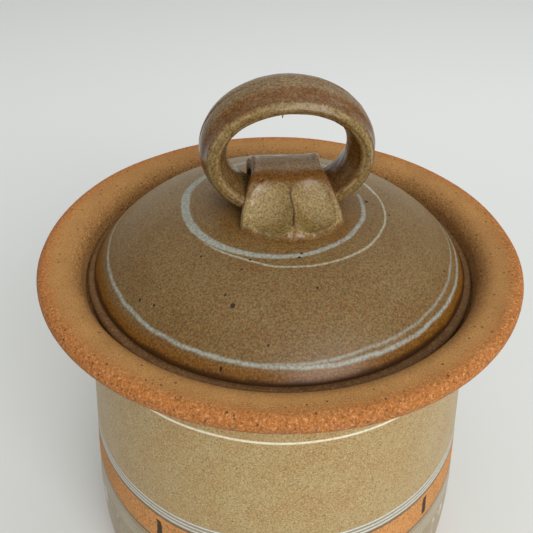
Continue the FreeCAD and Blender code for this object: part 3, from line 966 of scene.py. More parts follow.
@dataclass(frozen=True)
class RingGlaze:
    """The ring: olive-brown glaze, rust along its front, a dark line in its groove, painted shade on its
    right inside and a painted highlight along its front bead.

    Places round the ring are shares of its middle oval, so 1 lies on the strap's middle line.
    """

    glaze: SpeckledGlaze = SpeckledGlaze((0.205, 0.14, 0.065), (0.165, 0.10, 0.036),
                                         rust=(0.18, 0.062, 0.008), light=(0.32, 0.24, 0.10),
                                         grain=COARSE_GRAIN)
    rust: Colour = (0.125, 0.044, 0.004)
    olive: Colour = (0.20, 0.135, 0.040)
    groove: Colour = (0.085, 0.042, 0.018)
    # painted shade for the right side of the ring's inside
    shade: Colour = (0.125, 0.048, 0.003)
    brown: Colour = (0.13, 0.072, 0.018)
    # painted highlight: the pale colour of the line along the ring's front bead
    wear_and_glint: Colour = (0.40, 0.31, 0.16)
    centre: tuple[float, float, float] = (2.8, 0.0, 244.6)
    middle_line: tuple[float, float, float] = (1 / 34.8, 0.0, 1 / 27.0)
    outer_half: Span = (0.99, 1.03)
    inner_half: Span = (1.0, 0.9)
    inner_face: Span = (0.95, 0.87)
    band: Span = (-12.4, -4.0)
    band_wander: Waver = Waver(6.0, reach=3.0, detail=4.0, roughness=0.65, warp=0.4)
    blotches: Cloud = Cloud(3.2, start=0.36, full=0.56, detail=4.0, roughness=0.7)
    groove_place: float = 4.2
    groove_amount: float = 0.9
    sway: Waver = Waver(9.0, reach=0.5)
    front: Span = (-11.8, -12.8)
    front_amount: float = 0.55
    rusting: Cloud = Cloud(2.6, start=0.45, full=0.6, detail=3.0, roughness=0.7)
    rusting_amount: float = 0.6
    right_side: Span = (8.0, 30.0)
    shade_amount: float = 0.75
    left_side: Span = (0.0, -22.0)
    brown_amount: float = 0.55
    glint_breakup: Cloud = Cloud(3.0, start=0.36, full=0.56, detail=3.0, roughness=0.6)
    glint_amount: float = 0.5
    layers: Layers = ((1.1, 0.05), (2.8, 0.12))

    def material(self) -> bpy.types.Material:
        """Make the ring's material.

        Returns:
            The finished material.
        """
        graph = ShaderGraph("ring_glaze")
        oval = graph.vector("MULTIPLY", graph.vector("SUBTRACT", graph.place, self.centre), self.middle_line)
        reach = graph.length(oval)
        outside = graph.ease(reach, *self.outer_half)
        across = graph.math("ADD", graph.along, self.band_wander.shift(graph))
        band = graph.times(graph.between(across, *self.band, soft=3.0), outside)
        spread = graph.math("MULTIPLY_ADD", self.blotches.mask(graph), 0.55, 0.4)
        colour = self.glaze.colour(graph, rust_amount=0.75, light_amount=0.35)
        colour = graph.lay(colour, self.rust, band, spread)
        swayed = graph.math("ADD", graph.along, self.sway.shift(graph))
        line = graph.times(graph.stripe(swayed, self.groove_place, half=0.5, soft=1.2), outside)
        colour = graph.lay(colour, self.groove, line, self.groove_amount)
        colour = graph.lay(colour, self.olive, graph.ease(swayed, *self.front), self.front_amount)
        rusty = graph.times(graph.ease(reach, *self.inner_half), self.rusting.mask(graph))
        colour = graph.lay(colour, self.rust, rusty, self.rusting_amount)
        inside = graph.ease(reach, *self.inner_face)
        # Painted shade: the right side of the ring's inside is darkened towards deep olive-brown.
        right = graph.times(inside, graph.ease(graph.across, *self.right_side))
        colour = graph.lay(colour, self.shade, right, self.shade_amount)
        left = graph.times(inside, graph.ease(graph.across, *self.left_side))
        colour = graph.lay(colour, self.brown, left, self.brown_amount)
        colour = speckled(graph, colour, size=0.95, dark=0.5, light=0.4)
        # Painted highlight: a broken pale line along the ring's front bead.
        wear_and_glint = graph.times(graph.mark(RING_GLINT_MARK), self.glint_breakup.mask(graph))
        colour = graph.lay(colour, self.wear_and_glint, wear_and_glint, self.glint_amount)
        return graph.finish(colour, roughness=0.22, relief=graph.relief(*self.layers), depth=0.6, gloss=0.3)


@dataclass(frozen=True)
class SaddleGlaze:
    """The saddle: olive thumb prints darkened low down by pooled glaze and painted shade, painted shade in
    its crease and pit, rust where the glaze ran off the edges and at its waist.
    """

    glaze: SpeckledGlaze = SpeckledGlaze((0.215, 0.138, 0.060), (0.18, 0.105, 0.042),
                                         rust=(0.17, 0.065, 0.012), light=(0.33, 0.25, 0.12),
                                         grain=replace(COARSE_GRAIN, size=0.8))
    scoop: SpeckledGlaze = SpeckledGlaze((0.29, 0.215, 0.085), (0.23, 0.155, 0.052),
                                         rust=(0.20, 0.08, 0.012), light=(0.46, 0.36, 0.17),
                                         grain=replace(COARSE_GRAIN, size=0.9))
    rust: Colour = (0.145, 0.052, 0.005)
    # partly pooled glaze, partly painted shade, for the low front of the thumb prints
    pooled_glaze_and_shade: Colour = (0.135, 0.082, 0.020)
    # painted shade for the crease between the thumb prints and for the pit
    dark: Colour = (0.030, 0.014, 0.006)
    blotch: Waver = Waver(3.0, reach=0.45, detail=4.0, roughness=0.7, warp=0.3)
    edge_amount: float = 0.7
    waist_amount: float = 0.8
    pool_and_shade_front: Span = (-15.0, -31.0)
    pool_and_shade_amount: float = 0.75
    crease_shade_amount: float = 0.85
    layers: Layers = ((1.1, 0.05), (2.4, 0.12))

    def material(self) -> bpy.types.Material:
        """Make the saddle's material from the marks left in its mesh.

        Returns:
            The finished material.
        """
        graph = ShaderGraph("saddle_glaze")
        scooped, edged, broken, creased = (graph.mark(name) for name in SADDLE_MARKS)
        blotch = self.blotch.shift(graph)
        pressed = graph.ease(graph.math("MULTIPLY_ADD", blotch, 0.6, scooped), -0.35, 0.3)
        colour = graph.mix(pressed, self.glaze.colour(graph, rust_amount=0.6, light_amount=0.3),
                           self.scoop.colour(graph, rust_amount=0.6, light_amount=0.5))
        wear_and_glint = graph.ease(graph.math("ADD", edged, blotch), 0.35, 0.85)
        colour = graph.lay(colour, self.rust, wear_and_glint, self.edge_amount)
        thin = graph.ease(graph.math("ADD", broken, blotch), 0.25, 0.95)
        colour = graph.lay(colour, self.rust, thin, self.waist_amount)
        # Partly glaze pooled in the hollows, partly painted shade: the low front part of the thumb prints is
        # darkened.
        pooled = graph.times(graph.ease(graph.along, *self.pool_and_shade_front), graph.ease(scooped, 0.1, 0.7))
        colour = graph.lay(colour, self.pooled_glaze_and_shade, pooled, self.pool_and_shade_amount)
        colour = speckled(graph, colour, size=0.95, dark=0.55, light=0.35)
        # Painted shade: the crease between the thumb prints and the pit are darkened almost to black.
        colour = graph.lay(colour, self.dark, creased, self.crease_shade_amount)
        return graph.finish(colour, roughness=0.24, relief=graph.relief(*self.layers), depth=0.6, gloss=0.4)


# --------------------------------------------------------------------------- turning


@dataclass
class Outline:
    """An outline in the plane of the axis, walked point by point, in millimetres."""

    step: float = 1.4
    points: list[Vector] = field(default_factory=list)

    def start(self, across: float, up: float) -> "Outline":
        """Put down the first point."""
        self.points = [Vector((across, up))]
        return self

    def line(self, across: float, up: float) -> "Outline":
        """Go straight to a point.

        Args:
            across: the point's distance from the axis.
            up: the point's height.

        Returns:
            The outline itself.
        """
        first, last = self.points[-1], Vector((across, up))
        count = max(1, round((last - first).length / self.step))
        self.points += [first.lerp(last, index / count) for index in range(1, count + 1)]
        return self

    def arc(self, across: float, up: float, radius: float, turn: Turn) -> "Outline":
        """Go to a point along an arc.

        Args:
            across: the point's distance from the axis.
            up: the point's height.
            radius: the arc's radius.
            turn: which way it bends.

        Returns:
            The outline itself.
        """
        first, last = self.points[-1], Vector((across, up))
        chord = last - first
        height = math.sqrt(max(radius ** 2 - chord.length_squared / 4, 0.0))
        normal = Vector((-chord.y, chord.x)).normalized()
        centre = (first + last) / 2 + normal * (turn.value * height)
        begin = math.atan2(first.y - centre.y, first.x - centre.x)
        sweep = 2 * math.asin(min(1.0, chord.length / 2 / radius)) * turn.value
        count = max(3, round(abs(sweep) * radius / self.step), round(abs(sweep) / 0.2))
        for index in range(1, count + 1):
            angle = begin + sweep * index / count
            self.points.append(centre + radius * Vector((math.cos(angle), math.sin(angle))))
        self.points[-1] = last
        return self

    def turned(self, steps: int) -> bmesh.types.BMesh:
        """Spin the outline a full circle round the axis.

        Args:
            steps: how many steps the circle has.

        Returns:
            The turned shape, in metres.
        """
        shape = bmesh.new()
        rim = [shape.verts.new((point.x * MM, 0.0, point.y * MM)) for point in self.points]
        edges = [shape.edges.new(pair) for pair in zip(rim, rim[1:])]
        bmesh.ops.spin(shape, geom=rim + edges, cent=(0, 0, 0), axis=(0, 0, 1), dvec=(0, 0, 0),
                       angle=math.tau, steps=steps, use_merge=True, use_duplicate=False)
        bmesh.ops.remove_doubles(shape, verts=shape.verts[:], dist=MERGE_REACH)
        bmesh.ops.dissolve_degenerate(shape, edges=shape.edges[:], dist=1e-7)
        bmesh.ops.recalc_face_normals(shape, faces=shape.faces[:])
        return shape


def nudge(shape: bmesh.types.BMesh, move: Callable[[Vector], Vector]) -> None:
    """Move every corner of a shape by a small amount that depends on its place."""
    for corner in shape.verts:
        corner.co += move(corner.co)


def place_piece(name: str, shape: bmesh.types.BMesh, finishes: list[bpy.types.Material]) -> bpy.types.Object:
    """Make an object of a finished shape.

    Args:
        name: the object's name.
        shape: its shape, freed afterwards.
        finishes: its materials, in the order of its faces' numbers.

    Returns:
        The new object, riding on the frame.
    """
    mesh = bpy.data.meshes.new(name)
    shape.to_mesh(mesh)
    shape.free()
    for finish in finishes:
        mesh.materials.append(finish)
    mesh.shade_smooth()
    piece = bpy.data.objects.new(name, mesh)
    bpy.context.scene.collection.objects.link(piece)
    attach(piece, "root")
    log.info("%s: %d faces", name, len(mesh.polygons))
    return piece


@dataclass
class ThrownJar:
    """The jar: one turned piece from the foot over the rim to the floor inside."""

    height: float = 198.0
    rim_radius: float = 115.0
    lip_round: float = 4.4
    rim_dish: float = 0.8
    rim_shoulder: float = 9.0
    rim_width: float = 19.7
    gallery_radius: float = 93.9
    gallery_depth: float = 15.5
    ledge_width: float = 10.4
    ledge_depth: float = 4.5
    neck_radius: float = 94.6
    neck_height: float = 171.0
    cove_radius: float = 30.0
    wall_taper: float = 5.8
    shoulder_height: float = 60.0
    belly_height: float = 26.0
    foot_radius: float = 103.5
    foot_bevel: float = 4.0
    foot_ring: float = 9.0
    foot_hollow: float = 3.0
    wall: float = 7.2
    floor_top: float = 12.0
    floor_curve: float = 13.0
    unevenness: tuple[float, float, float] = (0.35, 0.35, 0.12)
    rim_lift: float = 0.7
    steps: int = 216

    def outline(self) -> Outline:
        """Walk the jar's outline.

        Returns:
            The outline, from the axis under the foot to the axis on the floor inside.
        """
        tilt = math.radians(self.wall_taper)
        shoulder = self.neck_radius + (self.neck_height - self.shoulder_height) * math.tan(tilt)
        belly_curve = (self.shoulder_height - self.belly_height) / math.sin(tilt)
        belly = shoulder + belly_curve * (1 - math.cos(tilt))
        drop, swell = self.belly_height - self.foot_bevel, belly - self.foot_radius
        foot_curve = (drop ** 2 + swell ** 2) / (2 * swell)
        lip = self.rim_radius - self.lip_round
        mouth = self.rim_radius - self.rim_width
        ledge = self.height - self.gallery_depth
        inside = belly - self.wall
        line = Outline().start(0.0, self.foot_hollow)
        line.line(self.foot_radius - self.foot_bevel - self.foot_ring - 1.5, self.foot_hollow)
        line.line(self.foot_radius - self.foot_bevel - self.foot_ring, 0.0)
        line.line(self.foot_radius - self.foot_bevel, 0.0)
        line.line(self.foot_radius, self.foot_bevel)
        line.arc(belly, self.belly_height, foot_curve, Turn.LEFT)
        line.arc(shoulder, self.shoulder_height, belly_curve, Turn.LEFT)
        line.line(self.neck_radius, self.neck_height)
        line.arc(lip, self.height - 2 * self.lip_round, self.cove_radius, Turn.RIGHT)
        line.arc(self.rim_radius, self.height - self.lip_round, self.lip_round, Turn.LEFT)
        line.arc(lip, self.height, self.lip_round, Turn.LEFT)
        line.line(mouth + self.rim_shoulder, self.height - self.rim_dish)
        line.arc(mouth, self.height - self.rim_dish - self.rim_shoulder, self.rim_shoulder, Turn.LEFT)
        line.line(self.gallery_radius, ledge)
        line.line(self.gallery_radius - self.ledge_width, ledge)
        line.line(self.gallery_radius - self.ledge_width, ledge - self.ledge_depth)
        line.line(self.neck_radius - self.wall, self.neck_height - self.ledge_depth)
        line.line(shoulder - self.wall, self.shoulder_height)
        line.arc(inside, self.floor_top + self.floor_curve, belly_curve - self.wall, Turn.RIGHT)
        line.arc(inside - self.floor_curve, self.floor_top, self.floor_curve, Turn.RIGHT)
        return line.line(0.0, self.floor_top)

    def uneven(self, place: Vector) -> Vector:
        """The small unevenness of a hand-thrown wall and rim, always inwards.

        Args:
            place: a corner's place, in metres.

        Returns:
            How far the corner moves, in metres.
        """
        radius = max(math.hypot(place.x, place.y), 1e-6)
        away = Vector((place.x / radius, place.y / radius, 0.0))
        slow = noise.noise(Vector((away.x * 1.3, away.y * 1.3, place.z * 9)))
        quick = noise.noise(Vector((away.x * 5, away.y * 5, place.z * 60 + 7)))
        rim = ramp(place.z, 0.174, 0.194) * ramp(radius, 0.094, 0.098)
        steady, waves, ripples = self.unevenness
        inward = (steady + waves * slow + ripples * quick) * MM * smooth(radius / 0.05)
        lift = noise.noise(Vector((away.x * 2.1, away.y * 2.1, 3.3))) * self.rim_lift * MM * rim
        return -away * inward + Vector((0.0, 0.0, lift))

    def finish_of(self, middle: Vector, normal: Vector) -> JarFinish:
        """Tell which finish a face takes.

        Args:
            middle: the face's middle.
            normal: its outward direction.

        Returns:
            The finish of the bare rim, the glazed wall, the liner inside or the foot's underside.
        """
        radius = math.hypot(middle.x, middle.y) / MM
        height = middle.z / MM
        outward = normal.x * middle.x + normal.y * middle.y > 0
        ledge_bottom = self.height - self.gallery_depth - self.ledge_depth
        if height < self.foot_bevel / 2:
            return JarFinish.FOOT
        if outward and height < self.height - 2.4 * self.lip_round and radius > self.neck_radius - 1:
            return JarFinish.WALL
        if height < ledge_bottom + 0.1 and radius < self.rim_radius - 8:
            above_floor = height > self.floor_top - 1 or radius < self.foot_radius - 20 and height > 6
            return JarFinish.LINER if above_floor else JarFinish.FOOT
        return JarFinish.RIM

    def build(self) -> bpy.types.Object:
        """Turn the jar and dress it: bare rim, wall glaze, liner and foot.

        Returns:
            The jar's object.
        """
        shape = self.outline().turned(self.steps)
        for face in shape.faces:
            face.material_index = self.finish_of(face.calc_center_median(), face.normal).value
        nudge(shape, self.uneven)
        finishes = [finish().material() for finish in (RimClay, WallGlaze, LinerGlaze, BareClay)]
        piece = place_piece("thrown_jar", shape, finishes)
        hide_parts("jar")
        return piece


@dataclass
class ThrownLid:
    """The lid without its handle: a dome with a flange round it, hollow below."""

    seat_height: float = 182.5
    gallery_radius: float = 93.9
    clearance: float = 0.9
    flange_thickness: float = 5.1
    flange_round: float = 1.6
    flange_width: float = 3.4
    dome_step: float = 1.0
    dome_height: float = 36.8
    crown_radius: float = 260.0
    crown_reach: float = 50.0
    dome_wall: float = 8.0
    ceiling_reach: float = 30.0
    seat_width: float = 8.5
    steps: int = 256

    @property
    def radius(self) -> float:
        """Outside radius of the flange."""
        return self.gallery_radius - self.clearance

    @property
    def crown_end(self) -> tuple[float, float]:
        """Where the flat crown passes into the shoulder, above the seat."""
        tilt = math.asin(self.crown_reach / self.crown_radius)
        return self.crown_reach, self.dome_height - self.crown_radius * (1 - math.cos(tilt))

    def shoulder_radius(self, start: tuple[float, float], end: tuple[float, float], tilt: float) -> float:
        """Radius of an arc that leaves its start at a tilt and meets its end."""
        out, down = end[0] - start[0], start[1] - end[1]
        return (out ** 2 + down ** 2) / (2 * (down * math.cos(tilt) - out * math.sin(tilt)))

    def outlines(self) -> tuple[Outline, Outline]:
        """Walk the lid from its seat over the dome, and its ceiling from the axis to the seat.

        Returns:
            The two outlines, which meet at the seat.
        """
        seat = self.seat_height
        edge = (self.radius - self.flange_width, self.flange_thickness + self.dome_step)
        tilt = math.asin(self.crown_reach / self.crown_radius)
        crown = self.crown_end
        ceiling = (self.ceiling_reach, self.dome_height - self.dome_wall)
        inner = (self.radius - self.seat_width, 0.0)
        line = Outline(step=1.2).start(inner[0], seat)
        line.line(self.radius - self.flange_round, seat)
        line.arc(self.radius, seat + self.flange_round, self.flange_round, Turn.LEFT)
        line.line(self.radius, seat + self.flange_thickness - self.flange_round)
        line.arc(self.radius - self.flange_round, seat + self.flange_thickness, self.flange_round, Turn.LEFT)
        line.line(edge[0], seat + self.flange_thickness)
        line.line(edge[0], seat + edge[1])
        line.arc(crown[0], seat + crown[1], self.shoulder_radius(crown, edge, tilt), Turn.LEFT)
        line.arc(0.0, seat + self.dome_height, self.crown_radius, Turn.LEFT)
        under = Outline(step=2.0).start(0.0, seat + ceiling[1])
        under.line(ceiling[0], seat + ceiling[1])
        under.arc(inner[0], seat, self.shoulder_radius(ceiling, inner, 0.0), Turn.RIGHT)
        return line, under

    def build(self) -> bpy.types.Object:
        """Turn the lid and dress it: bare flange, glazed dome, glazed ceiling.

        Returns:
            The lid's object, without its handle.
        """
        shape = bmesh.new()
        for run in self.outlines():
            part = run.turned(self.steps)
            mesh = bpy.data.meshes.new("lid_run")
            part.to_mesh(mesh)
            part.free()
            shape.from_mesh(mesh)
            bpy.data.meshes.remove(mesh)
        bmesh.ops.remove_doubles(shape, verts=shape.verts[:], dist=MERGE_REACH)
        bmesh.ops.recalc_face_normals(shape, faces=shape.faces[:])
        edge = (self.radius - self.flange_width) * MM
        for face in shape.faces:
            middle = face.calc_center_median()
            radius = math.hypot(middle.x, middle.y)
            if face.normal.z > 0 and radius < edge + 1e-5:
                face.material_index = 1
            elif face.normal.z < -0.01 and middle.z > (self.seat_height + 0.5) * MM and radius < edge:
                face.material_index = 2
        # Painted shade: the flange is the same bare clay in darker colours, as it looks down in the gallery.
        flange = BareClay(body=(0.16, 0.085, 0.030), toasted=(0.07, 0.03, 0.01), flashed=(0.13, 0.06, 0.018),
                          pale=(0.34, 0.19, 0.08), sparkle=0.6, name="shaded_flange_stoneware")
        finishes = [flange.material(), DomeGlaze().material(), LinerGlaze().material()]
        return place_piece("thrown_lid", shape, finishes)


@dataclass
class RingStrap:
    """The ring of the handle: a crowned strap with soft ridges, bent to an oval."""

    shift: float = 2.8
    width: float = 79.0
    height: float = 63.4
    bottom: float = 212.9
    strap_width: float = 27.5
    thickness: float = 9.4
    crest_place: float = 3.0
    front_fall: float = 4.3
    top_fall: float = 1.8
    back_fall: float = 2.0
    belly: float = 2.8
    flare: float = 2.2
    back_flare: float = 0.3
    edge_round: float = 1.9
    groove_place: float = 4.2
    groove_reach: float = 1.8
    groove_depth: float = 0.8
    valley_place: float = -7.6
    valley_reach: float = 4.4
    valley_depth: float = 0.5
    bead_place: float = -11.7
    bead_reach: float = 1.1
    inner_bead_reach: float = 1.6
    bead_rise: float = 0.5
    glint_place: float = -12.9
    glint_reach: float = 0.6
    unevenness: float = 0.35
    burr_size: float = 0.5
    burr_turn: float = 98.0
    across_steps: int = 64
    steps: int = 320
    spin_radius: float = 30.0
    half_section: float = 4.0

    def section(self) -> list[Vector]:
        """The strap's plain section: place between its inside and outside, and place along the hole.

        Returns:
            The section's points, once round.
        """
        edge = self.strap_width / 2
        outer = []
        for step in range(self.across_steps + 1):
            along = -edge * math.cos(math.pi * step / self.across_steps)
            past = max(0.0, abs(along) - (edge - self.edge_round)) / self.edge_round
            outer.append(Vector((self.half_section * math.sqrt(max(0.0, 1 - past ** 2)), along)))
        inner = [Vector((-point.x, point.y)) for point in outer[-2:0:-1]]
        return outer + inner

    def outside(self, along: float, sideways: float) -> float:
        """Outside of the strap, out from its middle line, with its ridges.

        Args:
            along: place along the hole.
            sideways: 1 at the ring's sides, 0 at its top and bottom.

        Returns:
            The place, counted outwards.
        """
        edge = self.strap_width / 2
        if along < self.crest_place:
            share = (self.crest_place - along) / (self.crest_place + edge)
            fall = self.front_fall + self.top_fall * (1 - sideways)
        else:
            share = (along - self.crest_place) / (edge - self.crest_place)
            fall = self.back_fall
        relief = -self.groove_depth * hump(along - self.groove_place, self.groove_reach)
        relief -= self.valley_depth * hump(along - self.valley_place, self.valley_reach)
        relief += self.bead_rise * hump(along - self.bead_place, self.bead_reach)
        return self.thickness / 2 - fall * share ** 2 + relief

    def inside(self, along: float, sideways: float) -> float:
        """Inside of the strap, out from its middle line.

        Args:
            along: place along the hole.
            sideways: 1 at the ring's sides, 0 at its top and bottom.

        Returns:
            The place, negative because it lies inwards.
        """
        share = along / (self.strap_width / 2)
        middle = -self.thickness / 2 - self.belly * sideways
        edge = -self.thickness / 2 + (self.flare if along < 0 else self.back_flare) * sideways
        bead = self.bead_rise * hump(along - self.bead_place, self.inner_bead_reach)
        return middle + (edge - middle) * share ** 2 - bead

    def placed(self, between: float, along: float, angle: float) -> Vector:
        """Place one point of the strap.

        Args:
            between: -1 on the inside and 1 on the outside.
            along: place along the hole.
            angle: place round the ring.

        Returns:
            The point, in metres.
        """
        half_across = (self.width - self.thickness) / 2
        half_up = (self.height - self.thickness) / 2
        sideways = math.cos(angle) ** 2
        high, low = self.outside(along, sideways), self.inside(along, sideways)
        out = (high + low) / 2 + between * (high - low) / 2
        normal = Vector((math.cos(angle) / half_across, math.sin(angle) / half_up)).normalized()
        across = half_across * math.cos(angle) + normal.x * out
        up = half_up * math.sin(angle) + normal.y * out
        waves = noise.noise(Vector((across * 0.12, along * 0.16, up * 0.12)))
        inward = abs(waves * self.unevenness * between)
        place = Vector((across - normal.x * inward, along, up - normal.y * inward))
        return (place + Vector((self.shift, 0.0, self.bottom + self.height / 2))) * MM

    def build(self) -> bmesh.types.BMesh:
        """Sweep the strap once round its oval, with a small burr left under its top.

        Returns:
            The ring's shape, in metres.
        """
        shape = bmesh.new()
        wear_and_glint = shape.verts.layers.float.new(RING_GLINT_MARK)
        ends = [shape.verts.new((self.spin_radius + place.x, place.y, 0.0)) for place in self.section()]
        edges = [shape.edges.new(pair) for pair in zip(ends, ends[1:] + ends[:1])]
        bmesh.ops.spin(shape, geom=ends + edges, cent=(0, 0, 0), axis=(0, 1, 0), dvec=(0, 0, 0),
                       angle=math.tau, steps=self.steps, use_merge=True, use_duplicate=False)
        bmesh.ops.remove_doubles(shape, verts=shape.verts[:], dist=1e-4)
        for corner in shape.verts:
            angle = math.atan2(corner.co.z, corner.co.x)
            between = (math.hypot(corner.co.x, corner.co.z) - self.spin_radius) / self.half_section
            # mark the thin line along the front bead that takes the painted highlight
            ridge = hump(corner.co.y - self.glint_place, self.glint_reach)
            corner[wear_and_glint] = ridge * ramp(abs(between), 0.3, 0.7)
            corner.co = self.placed(between, corner.co.y, angle)
        burr = self.placed(-1.0, 1.2 - self.strap_width / 2, math.radians(self.burr_turn))
        bmesh.ops.create_cone(shape, cap_ends=True, segments=10, radius1=self.burr_size * MM / 3,
                              radius2=self.burr_size * MM, depth=self.burr_size * 5 * MM,
                              matrix=Matrix.Translation(burr))
        bmesh.ops.recalc_face_normals(shape, faces=shape.faces[:])
        return shape


@dataclass
class SaddleStrap:
    """The saddle: a strap arched over the ring's bottom, pressed down with the thumbs."""

    shift_x: float = 2.8
    shift_y: float = 4.0
    crest_half: float = 15.7
    lip_half: float = 23.2
    tail_half: float = 17.0
    front: float = 26.5
    back: float = 18.5
    tongue: float = 11.3
    back_tongue: float = 8.3
    top: float = 236.9
    crest: float = 26.0
    front_slope: float = 28.0
    back_slope: float = 45.0
    edge_round: float = 2.2
    corner_fall: float = 6.2
    corner_lift: float = 1.1
    lip_rise: float = 0.5
    lip_place: float = 1.6
    lip_reach: float = 3.0
    lumps_per_mm: float = 0.28
    lump_rise: float = 0.8
    thumb_width: float = 20.4
    thumb_length: float = 24.0
    thumb_run: float = 0.78
    thumb_depth: float = 4.9
    thumb_spacing: float = 18.8
    thumb_front: float = 24.0
    thumb_back: float = 18.0
    crease_width: float = 0.9
    crease_depth: float = 0.7
    waist_place: float = -10.0
    waist_reach: float = 7.5
    edge_reach: float = 2.6
    pit_across: float = -12.4
    pit_along: float = -11.5
    pit_size: float = 1.1
    depth: float = 22.4
    hole_top: float = 230.6
    hole_middle: float = 5.0
    hole_curve: float = 0.07
    columns: int = 150
    rows: int = 190

    def half(self, along: float) -> float:
        """Half the strap's width at a place from front to back.

        Args:
            along: place from its front, below 0, to its back.

        Returns:
            Half the width, in millimetres.
        """
        if along < 0:
            return self.crest_half + (self.lip_half - self.crest_half) * ramp(-along, 1, 26)
        return self.crest_half + (self.tail_half - self.crest_half) * smooth(along / self.back)

    def level(self, along: float) -> float:
        """Height of the strap's top before the thumbs press it.

        Args:
            along: place from its front, below 0, to its back.

        Returns:
            The height, in millimetres.
        """
        slope = math.radians(self.back_slope if along > 0 else self.front_slope)
        reach = abs(along)
        bend = self.crest * math.sin(slope)
        if reach < bend:
            return self.top - self.crest + math.sqrt(self.crest ** 2 - reach ** 2)
        return self.top - self.crest * (1 - math.cos(slope)) - (reach - bend) * math.tan(slope)

    def scoop(self, across: float, along: float) -> float:
        """How far into a thumb print a place lies, from 0 at its edge to 1 in its middle.

        Args:
            across: place from the strap's left to its right.
            along: place from its front, below 0, to its back.

        Returns:
            How deep in a print the place lies, below 0 outside both.
        """
        scale = self.tail_half / self.lip_half if along > 0 else 1.0
        middle = self.thumb_back if along > 0 else -self.thumb_front
        deepest = -1.0
        for side in (-1, 1):
            sideways = (across - side * self.thumb_spacing * scale / 2) / (self.thumb_width * scale / 2)
            lengthways = (along - middle) / (self.thumb_length * scale / 2)
            if along < middle < 0:
                lengthways *= self.thumb_run
            deepest = max(deepest, 1 - sideways ** 2 - lengthways ** 2)
        return deepest

    def rounded(self, inward: float) -> float:
        """How far the top falls at a distance in from the strap's edge."""
        past = clamp(1 - inward / self.edge_round)
        return self.edge_round * (1 - math.sqrt(1 - past ** 2))

    def creased(self, across: float, along: float) -> float:
        """How far into the crease between the thumb prints, or into the pit, a place lies.

        Args:
            across: place from the strap's left to its right.
            along: place from its front, below 0, to its back.

        Returns:
            1 at the deepest and 0 outside.
        """
        sway = 0.5 * math.sin(along * 0.45)
        crease = hump(across - sway, self.crease_width) * ramp(-along, 15, 20) * ramp(along, -35, -31)
        away = math.hypot(across - self.pit_across, along - self.pit_along)
        return max(crease, hump(away, self.pit_size))

    def surface(self, side: float, end: float) -> tuple[Vector, tuple[float, ...]]:
        """One point of the strap's top.

        Args:
            side: place across the strap, from -1 to 1.
            end: place from its front end at -1 to its back end at 1.

        Returns:
            The point in millimetres, and its marks in the order of SADDLE_MARKS.
        """
        bulge = (self.tongue if end < 0 else self.back_tongue) * (1 - side ** 2)
        length = (self.front if end < 0 else self.back) + bulge
        along = end * length
        half = self.half(along)
        across = side * half
        inward = min((1 - abs(side)) * half, (1 - abs(end)) * length)
        front = ramp(-along, 8, 26)
        scooped = self.scoop(across, along)
        crease = self.creased(across, along)
        lumps = noise.noise(Vector((across * self.lumps_per_mm, along * self.lumps_per_mm, 1.7)))
        lip = hump(inward - self.lip_place, self.lip_reach) * front
        up = self.level(along) - self.thumb_depth * max(0.0, scooped) - self.rounded(inward)
        up -= self.corner_fall * ramp(abs(side), 0.4, 1.0) * front
        up += self.corner_lift * ramp(abs(side), 0.72, 0.92) * hump(along - 4, 11)
        up += (0.3 + 0.7 * lip) * lumps * self.lump_rise + self.lip_rise * lip - self.crease_depth * crease
        edged = max(smooth(1 - inward / self.edge_reach), 0.7 * hump(across, 2.2) * ramp(-along, 12, 16))
        # The front lip takes a little of the prints' paler glaze: partly the glaze's own colour, partly a
        # painted highlight along the lip.
        pale = max(scooped, ramp(-along, 13, 19) - 0.78)
        marks = (pale, edged, hump(along - self.waist_place, self.waist_reach), crease)
        return Vector((self.shift_x + across, self.shift_y + along, up)), marks

    def underside(self, place: Vector) -> float:
        """Height of the strap's underside: buried, but open at both sides over the ring.

        Args:
            place: the point above, in millimetres.

        Returns:
            The height, in millimetres.
        """
        across, along = abs(place.x - self.shift_x), place.y - self.shift_y
        lifted = self.hole_top - self.hole_curve * (along - self.hole_middle) ** 2
        base = self.top - self.depth
        share = ramp(across / self.crest_half, 0.45, 0.85)
        return base + max(0.0, lifted - base) * share

    def build(self) -> bmesh.types.BMesh:
        """Shape the strap from a flat sheet of clay, then give it its thickness.

        Returns:
            The saddle's shape, in metres.
        """
        shape = bmesh.new()
        bmesh.ops.create_grid(shape, x_segments=self.columns, y_segments=self.rows, size=1.0)
        layers = [shape.verts.layers.float.new(name) for name in SADDLE_MARKS]
        for corner in shape.verts:
            side, end = (math.sin(share * math.pi / 2) for share in corner.co.xy)
            place, marks = self.surface(side, end)
            corner.co = place * MM
            for layer, mark in zip(layers, marks):
                corner[layer] = mark
        grown = bmesh.ops.extrude_face_region(shape, geom=shape.faces[:])["geom"]
        for item in grown:
            if isinstance(item, bmesh.types.BMVert):
                item.co.z = min(item.co.z - MM, self.underside(item.co / MM) * MM)
        bmesh.ops.recalc_face_normals(shape, faces=shape.faces[:])
        return shape


@dataclass
class PressedHandle:
    """The whole handle: the ring, and the saddle pressed over it."""

    ring: RingStrap = field(default_factory=RingStrap)
    saddle: SaddleStrap = field(default_factory=SaddleStrap)

    def build(self) -> list[bpy.types.Object]:
        """Build and glaze the two straps.

        Returns:
            The ring's object and the saddle's.
        """
        return [
            place_piece("ring_strap", self.ring.build(), [RingGlaze().material()]),
            place_piece("saddle_strap", self.saddle.build(), [SaddleGlaze().material()]),
        ]


@dataclass(frozen=True)
class Lamp:
    """One soft square lamp."""

    name: str
    place: tuple[float, float, float]
    size: float
    power: float

    def hang(self, target: Vector) -> None:
        """Hang the lamp in the scene.

        Args:
            target: where it points.
        """
        light = bpy.data.lights.new(self.name, "AREA")
        light.shape = "SQUARE"
        light.size = self.size
        light.energy = self.power
        lamp = bpy.data.objects.new(self.name, light)
        bpy.context.scene.collection.objects.link(lamp)
        lamp.location = self.place
        lamp.rotation_euler = (target - lamp.location).to_track_quat("-Z", "Y").to_euler()


